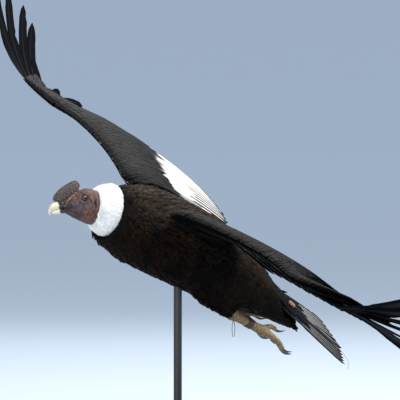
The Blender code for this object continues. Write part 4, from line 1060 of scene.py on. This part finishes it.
ruffSide = unit(np.cross(ruffAxis, (0, 0, 1)))
ruffUp = np.cross(ruffSide, ruffAxis)


def ruffPoint(along, angle, radius):
    out = ruffSide * np.cos(angle)[..., None] + ruffUp * np.sin(angle)[..., None]
    centre = np.array(ruff["place"]) + ruffAxis * (ruff["length"] * along)[..., None]
    return centre + out * np.asarray(radius)[..., None]


def ruffReach(along):
    return alongTable(ruff["outline"], along)[0] * ruff["radius"]


def makeCollar():
    first, last, back = ruff["ends"]
    rows, inner, columns = ruff["rows"], ruff["innerRows"], ruff["columns"]
    along = np.concatenate([np.linspace(first, last, rows), np.linspace(last, back, inner)])
    shell = np.concatenate([np.full(rows, ruff["core"]), np.full(inner, ruff["innerShell"])])
    grid, turn = np.meshgrid(along, 2 * np.pi * np.arange(columns) / columns, indexing="ij")
    lumps = 1 + sum(size * np.sin(turn * around + grid * run) for size, around, run in ruff["lumps"])
    points, faces = closeRings(ruffPoint(grid, turn, ruffReach(grid) * shell[:, None] * lumps))
    collar = addPiece("ruff_collar", points, faces, ruff["white"], downFeather, "ruff", points[:, :2] * 0)
    turnOutward(collar)
    unwrap(collar)
    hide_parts("ruff")


def makeDown():
    number = ruff["tufts"]
    k = np.arange(number)
    along = (k + 0.5) / number * ruff["span"] + ruff["start"]
    turn = k * math.pi * (3 - math.sqrt(5))
    roots = ruffPoint(along, turn, ruffReach(along) * (ruff["core"] + ruff["stand"]))
    out = ruffSide * np.cos(turn)[:, None] + ruffUp * np.sin(turn)[:, None]
    rise = ruff["rise"] - ruff["backRise"] * (1 - fade(along, 0.0, ruff["backEnd"]))
    lean = -ruffAxis * (1 - ruff["frontLean"] * fade(along, 0, 1))[:, None] + out * rise[:, None]
    ahead = unit(lean + dice.normal(0, ruff["wander"], (number, 3)))
    least, more, end = ruff["backLength"]
    less, begin = ruff["frontLength"]
    lengths = ruff["tuft"] * (ruff["shortest"] + ruff["spread"] * dice.random(number))
    lengths = lengths * (least + more * fade(along, 0, end) - less * fade(along, begin, 1))
    droop = dice.normal(ruff["droop"], ruff["droop"], number)
    lines, sides, ups = layLines(roots, ahead, out, lengths, ruff["tuftRows"], droop)
    made, quads, vane, per = layVanes(
        lines, sides, ups, ruff["width"] * (ruff["thinnest"] + ruff["widths"] * dice.random(number)),
        ruff["tuftOutline"], columns=ruff["tuftColumns"], thickness=ruff["thick"], shaft=ruff["shaft"],
        curl=ruff["curl"],
    )
    # Painted shade: down that faces downwards turns cream
    white, shadeCream = np.array(ruff["white"]), np.array(ruff["shadeCream"])
    base = white + (shadeCream - white) * fade(-out[:, 2:], *ruff["shadeFrom"]) * ruff["shadeShare"]
    shade = 1 + ruff["patchy"] * dice.normal(size=(number, 1))
    tint = np.repeat(base * shade, per, 0).clip(0, ruff["whitest"])
    spots = np.stack([(turn / (2 * np.pi)) % 1, along.clip(0, 1)], -1) * ruff["bakeShare"] + ruff["bakeEdge"]
    addCoat("ruff_down", made, quads, tint, downFeather, "ruff", vane, bakePatches(spots, per, vane), per)


makeCollar()
makeDown()
print("ruff made")


# Head and neck
head = {
    # forward and up of the top point, forward and up of the bottom point, half width
    "sections": (
        (0.0620, 0.0055, 0.0610, -0.0310, 0.0125), (0.0500, 0.0090, 0.0560, -0.0350, 0.0165),
        (0.0330, 0.0160, 0.0470, -0.0430, 0.0230), (0.0150, 0.0225, 0.0370, -0.0520, 0.0290),
        (-0.0050, 0.0255, 0.0280, -0.0590, 0.0325), (-0.0220, 0.0230, 0.0200, -0.0650, 0.0345),
        (-0.0400, 0.0110, 0.0110, -0.0720, 0.0370), (-0.0540, -0.0070, -0.0030, -0.0800, 0.0400),
        (-0.0680, -0.0260, -0.0200, -0.0900, 0.0430),
    ),
    "sides": 96, "rows": 110,
    # folds: radius, height and points of forward and up
    "folds": (
        (0.0032, 0.0030, ((-0.009, 0.008), (-0.018, -0.006), (-0.021, -0.030), (-0.012, -0.040))),
        (0.0024, 0.0032, ((0.059, -0.011), (0.048, 0.001), (0.036, 0.009), (0.018, 0.020))),
        (0.0030, 0.0024, ((0.052, -0.028), (0.042, -0.036), (0.030, -0.044), (0.018, -0.050))),
        (0.0034, 0.0024, ((-0.034, 0.002), (-0.033, -0.018), (-0.024, -0.040), (-0.010, -0.058))),
        (0.0022, 0.0014, ((0.012, 0.011), (0.004, 0.014), (-0.006, 0.012))),
        (0.0020, 0.0012, ((0.014, -0.008), (0.004, -0.012), (-0.008, -0.010))),
        (0.0022, 0.0012, ((0.040, -0.012), (0.024, -0.012), (0.012, -0.018), (0.004, -0.028))),
        (0.0024, 0.0014, ((-0.046, -0.010), (-0.042, -0.034), (-0.028, -0.056), (-0.014, -0.066))),
    ),
    "mouth": ((0.0640, -0.0150), (0.0520, -0.0170), (0.0400, -0.0200), (0.0300, -0.0240)),
    "eye": 0.0105, "eyeSide": 0.0215, "lid": 0.0084, "ear": (-0.024, -0.0226),
    # skin: the skin's colour; dark: the colour of painted shade; pale: the colour of a painted highlight
    "skin": (0.105, 0.050, 0.046), "dark": (0.014, 0.010, 0.011), "pale": (0.30, 0.24, 0.21),
    # patches: forward, up, reach forward, reach up, strength, colour
    "patches": (
        (0.000, 0.024, 0.030, 0.010, 0.8, (0.062, 0.048, 0.045)),
        (-0.050, -0.004, 0.016, 0.026, 0.8, (0.105, 0.056, 0.064)),
        # The violet-grey cheek patch is a painted sheen
        (0.018, -0.019, 0.020, 0.013, 0.95, (0.085, 0.068, 0.088)),
        (0.030, -0.042, 0.022, 0.012, 0.9, (0.030, 0.021, 0.018)),
        (-0.010, -0.046, 0.020, 0.020, 0.9, (0.120, 0.050, 0.030)),
        (-0.034, -0.034, 0.010, 0.022, 0.9, (0.160, 0.068, 0.058)),
        (0.050, -0.016, 0.017, 0.010, 1.0, (0.020, 0.017, 0.020)),
        (0.060, -0.008, 0.013, 0.026, 1.0, (0.022, 0.019, 0.020)),
        (0.000, 0.001, 0.0145, 0.0125, 0.9, (0.050, 0.022, 0.026)),
        (-0.027, -0.016, 0.0045, 0.012, 1.0, (0.020, 0.012, 0.012)),
    ),
    "power": 2.1, "side": (0.12, 0.45), "lineSteps": 40,
    # wrinkles: height, size, squeeze upwards, seed
    "wrinkles": ((0.0010, 0.010, 1, 3), (0.0007, 0.005, 0.35, 4)),
    "foldEnds": 0.45, "foldClip": (0.02, 0.98), "hollow": 0.3, "hollowGap": 1.6, "hollowWidth": 0.6,
    "creaseGap": 1.5, "creaseWidth": 0.5, "lip": 0.0011, "lipDepth": 0.0016,
    "earSize": 0.0032, "earTall": 1.5, "earDepth": 0.0036,
    "socket": 0.0086, "socketEdge": (-0.0006, 0.0010), "socketDepth": 0.0055,
    "browGap": 0.0135, "browWidth": 0.0030, "browHeight": 0.0014, "browFrom": (-0.004, 0.010),
    "neckFrom": (0.034, 0.060), "neckSlope": 0.3, "neckHeight": 0.0012, "neckRings": 900,
    "neckWave": (2, 120),
    # Strengths of painted shade in the creases, along the mouth, in the ear and in the eye socket, and of a
    # painted highlight along the ridge of the second fold
    "shades": {"crease": 0.6, "lip": 0.9, "ear": 0.95, "socket": 0.9, "ridge": 0.8},
    "strength": 1.14, "blotches": ((0.9, 0.005, 8), (0.7, 0.014, 9)), "blotchRange": (0.35, 1.9),
}


def headSections(sections, rows):
    table = [(k, *section) for k, section in enumerate(sections)]
    return np.stack(alongTable(table, np.linspace(0, len(sections) - 1, rows)), -1)


def headRings(sections, rows, count, power):
    made = headSections(sections, rows)
    zero = made[:, 0] * 0
    tops = np.stack([zero, -made[:, 0], made[:, 1]], -1)
    bottoms = np.stack([zero, -made[:, 2], made[:, 3]], -1)
    return oval(tops, bottoms, (1, 0, 0), made[:, 4], count, power)


def lineDistance(spots, path):
    steps = np.linspace(0, 1, head["lineSteps"])
    table = [(k / (len(path) - 1), *point) for k, point in enumerate(path)]
    line = np.stack(alongTable(table, steps), -1)
    gaps = np.linalg.norm(spots[:, None] - line[None], axis=-1)
    nearest = gaps.argmin(1)
    return gaps.min(1), steps[nearest]


wrinkle = {"octaves": 3, "waves": 5, "finer": 1.8, "fainter": 1.6, "turn": 6.28, "even": 6}


def wrinkles(points, size, seed):
    rng = np.random.default_rng(seed)
    total = np.zeros(len(points))
    for octave in range(wrinkle["octaves"]):
        for _ in range(wrinkle["waves"]):
            wave = unit(rng.normal(size=3)) * 2 * np.pi / (size / wrinkle["finer"]**octave)
            total += np.sin(points @ wave + rng.random() * wrinkle["turn"]) / wrinkle["fainter"]**octave
    return total / wrinkle["even"]


def bell(gaps, width):
    return np.exp(-(gaps / width) ** 2)


def headRelief(points, normals, spots):
    onSide = fade(np.abs(normals[:, 0]), *head["side"])
    rise, creases = np.zeros(len(points)), np.zeros(len(points))
    for high, size, squeeze, seed in head["wrinkles"]:
        rise += high * wrinkles(points * (1, 1, squeeze), size, seed)
    for radius, high, path in head["folds"]:
        gap, share = lineDistance(spots, path)
        ends = head["foldEnds"]
        taper = (ends + (1 - ends) * np.sin(np.pi * np.clip(share, *head["foldClip"]))) * onSide
        hollow = bell(gap - radius * head["hollowGap"], radius * head["hollowWidth"])
        rise += high * (bell(gap, radius) - head["hollow"] * hollow) * taper
        creases += bell(gap - radius * head["creaseGap"], radius * head["creaseWidth"]) * taper
    lip = bell(lineDistance(spots, head["mouth"])[0], head["lip"]) * onSide
    ridge = bell(lineDistance(spots, head["folds"][1][2])[0], head["lip"]) * onSide
    earGap = np.linalg.norm((spots - head["ear"]) / (1, head["earTall"]), axis=1)
    ear = bell(earGap, head["earSize"]) * onSide
    eyeGap = np.linalg.norm(spots, axis=1)
    socket = fade(head["socket"] - eyeGap, *head["socketEdge"]) * onSide
    brow = bell(eyeGap - head["browGap"], head["browWidth"]) * onSide
    brow = brow * (0.5 + 0.5 * fade(spots[:, 1], *head["browFrom"]))
    rise += head["browHeight"] * brow - head["lipDepth"] * lip
    rise -= head["earDepth"] * ear + head["socketDepth"] * socket
    neck = fade(-spots[:, 0] - spots[:, 1] * head["neckSlope"], *head["neckFrom"])
    sway, count = head["neckWave"]
    rings = np.sin(spots[:, 0] * head["neckRings"] + sway * np.sin(points[:, 0] * count))
    rise += head["neckHeight"] * neck * rings
    # Masks for painted shade in the creases, mouth, ear and eye socket, and for a painted highlight on the
    # ridge
    return rise, {"crease": creases.clip(0, 1), "lip": lip, "ear": ear, "socket": socket, "ridge": ridge}


def headTint(points, spots, shades):
    tint = np.repeat(np.array(head["skin"])[None], len(points), 0)
    for forward, up, wide, high, strength, colour in head["patches"]:
        off = ((spots[:, 0] - forward) / wide) ** 2 + ((spots[:, 1] - up) / high) ** 2
        tint = tint + (np.array(colour) - tint) * (strength * np.exp(-off))[:, None]
    # Painted shade darkens the creases, mouth, ear and socket; a painted highlight lightens the ridge
    for name, share in shades.items():
        colour = np.array(head["pale" if name == "ridge" else "dark"])
        tint = tint + (colour - tint) * (share * head["shades"][name])[:, None]
    blotches = 1 + sum(strength * wrinkles(points, size, seed) for strength, size, seed in head["blotches"])
    return tint * head["strength"] * blotches[:, None].clip(*head["blotchRange"])


def makeHead():
    points, faces = closeRings(headRings(head["sections"], head["rows"], head["sides"], head["power"]))
    shape = bpy.data.meshes.new("shape")
    shape.from_pydata(points.tolist(), [], faces)
    normals = np.array([vert.normal for vert in shape.vertices])
    bpy.data.meshes.remove(shape)
    if ((points - points.mean(0)) * normals).sum() < 0:
        normals = -normals
    spots = np.stack([-points[:, 1], points[:, 2]], -1)
    rise, shades = headRelief(points, normals, spots)
    points = points + normals * rise[:, None]
    tint = headTint(points, spots, shades)
    return addShell("head_skin", points, faces, tint, bareSkin, "skin", "head", "neck", matrix=headMatrix)


# A direction that no tube runs along, for its first ring
tubeSide = (0.31, 0.52, 0.79)


def tubeRings(points, radii, count, flat=1.0):
    points = np.asarray(points, float)
    ahead = unit(np.gradient(points, axis=0))
    side = unit(np.cross(ahead[0], tubeSide))
    angle = 2 * np.pi * np.arange(count) / count
    rings = []
    for point, run, radius in zip(points, ahead, radii):
        side = unit(side - run * (side @ run))
        up = np.cross(run, side)
        rings.append(point + radius * (np.cos(angle)[:, None] * side + flat * np.sin(angle)[:, None] * up))
    return np.array(rings)


eye = {
    "rows": 40, "columns": 48, "pole": 0.02, "cornea": 0.05, "corneaWidth": 0.35,
    "iris": (0.036, 0.010, 0.008), "rays": (0.3, 23), "pupil": 0.0026, "black": (0.002, 0.002, 0.002),
    "irisEdge": 0.0058, "edge": (0.020, 0.012, 0.010),
    "lidPoints": 40, "lidSides": 10, "lidFlat": 0.82, "lidSunk": 0.4, "lidSide": 0.0300, "lidRadius": 0.0017,
    "lid": (0.040, 0.020, 0.022), "lidMottle": (0.3, 0.004, 5), "cast": 0.2,
    "roughness": 0.22, "coat": 0.5, "coatRoughness": 0.06, "grain": 900, "grains": (0.8, 1.2),
}


def makeEyeball(sign, side):
    centre = np.array((sign * head["eyeSide"], 0, 0))
    polar = np.linspace(eye["pole"], math.pi - eye["pole"], eye["rows"])
    angle = 2 * np.pi * np.arange(eye["columns"]) / eye["columns"]
    grid, turn = np.meshgrid(polar, angle, indexing="ij")
    ball = np.stack([np.cos(grid) * sign, np.sin(grid) * np.cos(turn), np.sin(grid) * np.sin(turn)], -1)
    bulge = 1 + eye["cornea"] * bell(grid, eye["corneaWidth"])[..., None]
    points, faces = closeRings(centre + ball * head["eye"] * bulge)
    off = np.linalg.norm((points - centre)[:, 1:], axis=1)
    strength, count = eye["rays"]
    rays = 1 + strength * np.sin(np.arctan2(points[:, 2], points[:, 1]) * count)
    tint = np.array(eye["iris"]) * rays[:, None]
    tint[off < eye["pupil"]] = eye["black"]
    tint[off > eye["irisEdge"]] = eye["edge"]
    addShell("eyeball_" + side, points, faces, tint, eyeGlass, "eye", "eye_" + side, matrix=headMatrix)


def makeEyelid(sign, side, tree):
    count, sides = eye["lidPoints"], eye["lidSides"]
    ring = []
    for k in range(count):
        turn = 2 * math.pi * k / count
        across, up = head["lid"] * math.cos(turn), eye["lidFlat"] * head["lid"] * math.sin(turn)
        hit = tree.ray_cast(Vector((sign * eye["cast"], across, up)), Vector((-sign, 0, 0)))[0]
        depth = abs(hit.x) * eye["lidSunk"] + (1 - eye["lidSunk"]) * eye["lidSide"]
        ring.append(np.array((sign * depth, hit.y, hit.z)))
    ring = np.array(ring + ring[:1])
    rings = tubeRings(ring, np.full(len(ring), eye["lidRadius"]), sides)[:-1]
    points, quads = rings.reshape(-1, 3), ringFaces(len(rings), sides).tolist()
    last = (len(rings) - 1) * sides
    quads += [[last + k, last + (k + 1) % sides, (k + 1) % sides, k] for k in range(sides)]
    strength, size, seed = eye["lidMottle"]
    tint = np.array(eye["lid"]) * (1 + strength * wrinkles(points, size, seed)[:, None])
    addShell("eyelid_" + side, points, quads, tint, bareSkin, "skin", matrix=headMatrix)


bill = {
    "upper": (
        (0.0600, 0.0052, 0.0600, -0.0160, 0.0122), (0.0720, 0.0062, 0.0710, -0.0155, 0.0122),
        (0.0820, 0.0062, 0.0800, -0.0145, 0.0118), (0.0920, 0.0042, 0.0880, -0.0145, 0.0106),
        (0.1000, -0.0010, 0.0940, -0.0160, 0.0088), (0.1060, -0.0090, 0.0990, -0.0190, 0.0062),
        (0.1075, -0.0180, 0.1025, -0.0230, 0.0034),
    ),
    "upperTip": (0.1055, -0.0285),
    "lower": (
        (0.0600, -0.0155, 0.0600, -0.0305, 0.0110), (0.0720, -0.0148, 0.0720, -0.0295, 0.0105),
        (0.0820, -0.0136, 0.0820, -0.0278, 0.0094), (0.0900, -0.0138, 0.0905, -0.0262, 0.0074),
        (0.0950, -0.0158, 0.0955, -0.0245, 0.0045),
    ),
    "lowerTip": (0.0980, -0.0212),
    "ivory": (0.80, 0.75, 0.58), "cere": (0.035, 0.031, 0.031), "nostril": (0.0705, -0.0035),
    "rows": {"upper": 60, "lower": 44}, "sides": 48, "power": 2.2,
    "nostrilSize": (0.0042, 0.0018), "nostrilSide": (0.004, 0.008), "nostrilDepth": 0.0050,
    "nostrilShade": 0.85,
    "cereEnd": 0.0745, "cereWave": (0.0015, 500), "cereBlend": (-0.0022, 0.0030), "bands": (0.06, 1400),
}


def makeBill():
    for part, rows in bill["rows"].items():
        forward, up = bill[part + "Tip"]
        rings = headRings(bill[part], rows, bill["sides"], bill["power"])
        points, faces = closeRings(rings, (None, (0, -forward, up)))
        ahead = -points[:, 1]
        hole = np.zeros((len(points), 1))
        if part == "upper":
            spot = (np.stack([ahead, points[:, 2]], -1) - bill["nostril"]) / bill["nostrilSize"]
            onSide = fade(np.abs(points[:, :1]), *bill["nostrilSide"])
            hole = np.exp(-np.linalg.norm(spot, axis=1) ** 4)[:, None] * onSide
            points[:, :1] -= np.sign(points[:, :1]) * hole * bill["nostrilDepth"]
        cere, ivory = np.array(bill["cere"]), np.array(bill["ivory"])
        wave, count = bill["cereWave"]
        edge = bill["cereEnd"] + wave * np.sin(points[:, 2] * count)
        tint = cere + (ivory - cere) * fade(ahead - edge, *bill["cereBlend"])[:, None]
        strength, count = bill["bands"]
        tint = tint * (1 - bill["nostrilShade"] * hole) * (1 + strength * np.sin(ahead * count)[:, None])
        name = "bill_horn_" + part
        addShell(name, points, faces, tint, horn, "bill", "bill_" + part, matrix=headMatrix)


comb = {
    "sections": (
        (0.0835, 0.0225, 0.0830, 0.0100, 0.0036), (0.0730, 0.0325, 0.0740, 0.0050, 0.0052),
        (0.0580, 0.0415, 0.0620, 0.0040, 0.0062), (0.0420, 0.0475, 0.0480, 0.0070, 0.0065),
        (0.0270, 0.0525, 0.0340, 0.0120, 0.0062), (0.0130, 0.0535, 0.0200, 0.0180, 0.0055),
        (0.0040, 0.0470, 0.0090, 0.0240, 0.0040),
    ),
    "tips": ((0.0870, 0.0150), (0.0010, 0.0370)),
    "brown": (0.125, 0.105, 0.092), "dark": (0.042, 0.034, 0.032),
    "rows": 80, "sides": 64, "power": 2.3, "out": (6, 1, 1.4),
    # height or strength, size, seed
    "bumps": (0.0014, 0.010, 12), "warts": (0.0012, 0.006, 13), "hollows": (0.9, 0.008, 14),
}


def makeComb():
    rings = headRings(comb["sections"], comb["rows"], comb["sides"], comb["power"])
    points, faces = closeRings(rings, [(0, -forward, up) for forward, up in comb["tips"]])
    out = unit((points - points.mean(0)) * comb["out"])
    (bump, bumpSize, bumpSeed), (wart, wartSize, wartSeed) = comb["bumps"], comb["warts"]
    rise = bump * wrinkles(points, bumpSize, bumpSeed) + wart * np.abs(wrinkles(points, wartSize, wartSeed))
    points = points + out * rise[:, None]
    strength, size, seed = comb["hollows"]
    shade = (0.5 - strength * wrinkles(points, size, seed)[:, None]).clip(0, 1)
    tint = np.array(comb["brown"]) + (np.array(comb["dark"]) - np.array(comb["brown"])) * shade
    addShell("comb_skin", points, faces, tint, combSkin, "comb", "comb", matrix=headMatrix)


def makeEyeGlass():
    paint = Paint("eye", eye["roughness"], Coat_Weight=eye["coat"], Coat_Roughness=eye["coatRoughness"])
    grain = paint.noise(paint.place(), eye["grain"])
    shade = paint.mix(grain, *[greyTone(share) for share in eye["grains"]])
    paint.colour(paint.mix(1.0, paint.tint(), shade, "MULTIPLY"))
    return paint.material


eyeGlass = makeEyeGlass()
headSkin = makeHead()
headTree = treeOf(headSkin, headMatrix)
for sign, side in ((1, "left"), (-1, "right")):
    makeEyeball(sign, side)
    makeEyelid(sign, side, headTree)
makeBill()
makeComb()
print("head made")


# Legs and feet
leg = {
    "heel": (0.065, 0.252, -0.116), "toeRoot": (0.062, 0.385, -0.121),
    "shank": ((-0.10, 0.0145), (0.02, 0.0185), (0.14, 0.0150), (0.5, 0.0126), (0.86, 0.0142), (1.0, 0.0175)),
    # radius, points from the root of the toes
    "toes": {
        "middle": (
            0.0092,
            ((0.0, 0.004, 0.0), (0.002, 0.038, -0.003), (0.003, 0.072, -0.012), (0.003, 0.100, -0.027)),
        ),
        "outer": (
            0.0080,
            ((0.010, 0.004, 0.0), (0.018, 0.032, -0.002), (0.024, 0.058, -0.009), (0.027, 0.079, -0.020)),
        ),
        "inner": (
            0.0082,
            (
                (-0.010, 0.004, 0.0), (-0.018, 0.032, -0.001), (-0.023, 0.056, -0.007),
                (-0.025, 0.073, -0.016),
            ),
        ),
        "hind": (
            0.0070,
            ((-0.004, 0.004, 0.010), (-0.008, 0.024, 0.020), (-0.009, 0.040, 0.021), (-0.009, 0.050, 0.018)),
        ),
    },
    "taper": ((0, 1.25), (1, 1.0), (2, 0.92), (3, 0.72)), "palm": 0.0165, "claw": 3.6,
    "tan": (0.30, 0.215, 0.10), "shadow": (0.085, 0.055, 0.026), "horn": (0.030, 0.029, 0.031),
    "shankRows": 70, "shankSides": 36, "scutes": 52, "scute": 0.00045, "toeRows": 44, "toeSides": 20,
    "knuckle": 0.09, "knuckles": 6.3, "palmSides": 24,
    # back from the root of the toes, share of the palm's radius
    "palms": ((-0.004, 0.96), (0.006, 1.02), (0.014, 0.98), (0.021, 0.80)),
    "voxel": 0.0013, "smooth": 2, "mottle": (0.7, 0.012, 21), "mottleShare": 0.7,
    "cracks": (620, 1.5, 200), "crack": 0.86, "crackShare": 0.5,
    "clawRows": 22, "clawSides": 16, "clawStart": -0.12, "clawFlat": 0.86, "clawBend": (0, 0.008, 0.019),
    "clawForm": ((-0.12, 0.60), (0.0, 0.74), (0.4, 0.54), (0.75, 0.30), (1.0, 0.05)),
    "clawMottle": (0.3, 0.01, 4),
}


def makeShank(heel, root, flip):
    shares = np.linspace(leg["shank"][0][0], 1.0, leg["shankRows"])
    middle = (heel + (root - heel) * shares[:, None]) * flip
    rings = tubeRings(middle, alongTable(leg["shank"], shares)[0], leg["shankSides"])
    scutes = leg["scute"] * np.abs(np.sin(shares * leg["scutes"])) ** 0.5
    return ringObject("shank", rings + unit(rings - middle[:, None]) * scutes[:, None, None])


def makeToe(radius, path, root, flip):
    steps = np.linspace(0, len(path) - 1, leg["toeRows"])
    line = np.stack(alongTable([(k, *point) for k, point in enumerate(path)], steps), -1)
    knuckles = 1 + leg["knuckle"] * np.sin(steps * leg["knuckles"]) ** 2
    wide = alongTable(leg["taper"], steps)[0] * radius * knuckles
    return ringObject("toe", tubeRings((root + line) * flip, wide, leg["toeSides"]))


def legTint(spots):
    strength, size, seed = leg["mottle"]
    shade = (0.5 + strength * wrinkles(spots, size, seed)).clip(0, 1)[:, None]
    count, sway, swayCount = leg["cracks"]
    cracks = np.sin(spots[:, 1] * count + sway * np.sin(spots[:, 0] * swayCount)) > leg["crack"]
    share = (shade * leg["mottleShare"] + cracks[:, None] * leg["crackShare"]).clip(0, 1)
    return np.array(leg["tan"]) + (np.array(leg["shadow"]) - np.array(leg["tan"])) * share


def makeClaw(name, radius, path, root, flip):
    end, before = np.array(path[-1]), np.array(path[-2])
    steps = np.linspace(leg["clawStart"], 1, leg["clawRows"])
    line = root + end + unit(end - before) * (radius * leg["claw"] * steps)[:, None]
    line = line + np.array(leg["clawBend"]) * (steps.clip(0)**2)[:, None]
    wide = radius * np.interp(steps, *np.array(leg["clawForm"]).T)
    points, faces = closeRings(tubeRings(line * flip, wide, leg["clawSides"], leg["clawFlat"]))
    strength, size, seed = leg["clawMottle"]
    tint = np.array(leg["horn"]) * (1 + strength * wrinkles(points, size, seed)[:, None])
    addShell("talon_" + name, points, faces, tint, horn, "claw", "claw_" + name)


def makeLegs():
    heel, root = np.array(leg["heel"]), np.array(leg["toeRoot"])
    for sign, side in ((1, "left"), (-1, "right")):
        flip = np.array((sign, 1, 1))
        pieces = [makeShank(heel, root, flip)]
        for radius, path in leg["toes"].values():
            pieces.append(makeToe(radius, path, root, flip))
        palm = np.array([root + (0, back, 0) for back, _ in leg["palms"]])
        wide = leg["palm"] * np.array([share for _, share in leg["palms"]])
        pieces.append(ringObject("palm", tubeRings(palm * flip, wide, leg["palmSides"])))
        pickOnly(pieces[0])
        for piece in pieces:
            piece.select_set(True)
        bpy.ops.object.join()
        foot = pieces[0]
        foot.name = "leg_skin_" + side
        applyModifier(foot, "REMESH", mode="VOXEL", voxel_size=leg["voxel"])
        applyModifier(foot, "SMOOTH", factor=0.5, iterations=leg["smooth"])
        foot.data.shade_smooth()
        foot.data.materials.append(legSkin)
        setTint(foot, legTint(vertexPlaces(foot, poseMatrix)))
        unwrap(foot)
        finishPiece(foot, "leg", "shank_" + side, "foot_" + side)
        for toe, (radius, path) in leg["toes"].items():
            makeClaw(side + "_" + toe, radius, path, root, flip)


makeLegs()
print("legs made")


# What it wears keeps its solids, with their own finish: name, colour, roughness, grain, bump, metallic
worn = {
    ("anklet_left", "anklet_right"): ("dark leather", (0.030, 0.020, 0.014), 0.55, 500, 0.5, 0.0),
    ("wire_loop", "tail_antenna"): ("thin wire", (0.22, 0.23, 0.24), 0.35, 700, 0.2, 1.0),
    ("tail_transmitter",): ("moulded case", (0.32, 0.17, 0.10), 0.5, 900, 0.3, 0.0),
}


def finishNodes():
    for names, settings in worn.items():
        material = plainMaterial(*settings)
        for name in names:
            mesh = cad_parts[name].data
            mesh.materials.clear()
            mesh.materials.append(material)


finishNodes()


# Stand
stand = {
    "paint": ("satin stand paint", (0.040, 0.042, 0.045), 0.45, 260, 0.25, 0.1), "smooth": 35,
    # vertices, radius, height, foot, width and segments of the bevel
    "cylinders": {
        "disc": (160, 0.300, 0.030, 0.0, 0.006, 5), "post": (48, 0.012, 0.43, 0.030, 0, 0),
        "collar": (64, 0.022, 0.008, 0.030, 0.002, 3),
    },
}


def addCylinder(name):
    vertices, radius, height, foot, bevel, segments = stand["cylinders"][name]
    bpy.ops.object.select_all(action="DESELECT")
    bpy.ops.mesh.primitive_cylinder_add(
        vertices=vertices, radius=radius, depth=height, location=(0, 0, foot + height / 2),
    )
    made = bpy.context.active_object
    made.name = "stand_" + name
    bpy.ops.object.transform_apply(location=True)
    if bevel:
        applyModifier(made, "BEVEL", width=bevel, segments=segments, limit_method="ANGLE")
    return made


def makeStand():
    paint = plainMaterial(*stand["paint"])
    base, rod, collar = [addCylinder(name) for name in ("disc", "post", "collar")]
    pickOnly(rod)
    collar.select_set(True)
    bpy.ops.object.join()
    for piece, node in ((base, "stand_base"), (rod, "stand_rod")):
        piece.data.materials.clear()
        piece.data.materials.append(paint)
        pickOnly(piece)
        bpy.ops.object.shade_smooth_by_angle(angle=math.radians(stand["smooth"]))
        unwrap(piece)
        finishPiece(piece, "stand", node)


makeStand()
print("stand made")


# Studio: a floor that turns up into a backdrop far behind the bird, and soft lamps
studio = {
    "floor": (0.45, 0.51, 0.58), "glow": (0.52, 0.66, 0.86), "glowStrength": 0.34, "sky": (0.90, 0.94, 1.0),
    "skyStrength": 0.38, "wall": 110, "bend": 30, "half": 200, "steps": 24, "roughness": 0.9,
    "aim": (0, 0, 0.6),
    # place, size, power, colour
    "lamps": {
        "key": ((2.6, 1.6, 5.6), 2.6, 570, (1.0, 0.97, 0.92)),
        "fill": ((2.5, -5.5, 2.4), 4.0, 150, (1.0, 0.985, 0.95)),
        "rim": ((-4.0, 3.5, 4.5), 2.5, 120, (1.0, 0.98, 0.95)),
    },
}


def makeStudio():
    profile = [(-studio["half"], 0.0)]
    for angle in np.linspace(0, math.pi / 2, studio["steps"]):
        run = studio["wall"] - studio["bend"] * (1 - math.sin(angle))
        profile.append((run, studio["bend"] * (1 - math.cos(angle))))
    profile.append((studio["wall"], studio["half"]))
    azimuth = math.radians(view["azimuth"])
    back = np.array((-math.sin(azimuth), math.cos(azimuth), 0))
    side = np.array((math.cos(azimuth), math.sin(azimuth), 0))
    points, faces = [], []
    for run, rise in profile:
        for edge in (-studio["half"], studio["half"]):
            points.append(back * run + side * edge + (0, 0, rise))
    for k in range(len(profile) - 1):
        faces.append([2 * k, 2 * k + 1, 2 * k + 3, 2 * k + 2])
    mesh = bpy.data.meshes.new("studio_floor")
    mesh.from_pydata([list(point) for point in points], [], faces)
    mesh.shade_smooth()
    floor = bpy.data.objects.new("studio_floor", mesh)
    bpy.context.scene.collection.objects.link(floor)
    paint = Paint(
        "studio floor", studio["roughness"], Base_Color=(*studio["floor"], 1),
        Emission_Color=(*studio["glow"], 1), Emission_Strength=studio["glowStrength"],
    )
    mesh.materials.append(paint.material)
    world = bpy.data.worlds.new("studio light")
    bpy.context.scene.world = world
    world.use_nodes = True
    background = world.node_tree.nodes["Background"]
    background.inputs["Color"].default_value = (*studio["sky"], 1)
    background.inputs["Strength"].default_value = studio["skyStrength"]
    for name, (place, size, power, colour) in studio["lamps"].items():
        data = bpy.data.lights.new(name, "AREA")
        data.energy, data.size, data.color = power, size, colour
        lamp = bpy.data.objects.new(name, data)
        bpy.context.scene.collection.objects.link(lamp)
        lamp.location = place
        lamp.rotation_euler = (Vector(studio["aim"]) - Vector(place)).to_track_quat("-Z", "Y").to_euler()


makeStudio()
bpy.context.scene.view_settings.view_transform = "Standard"
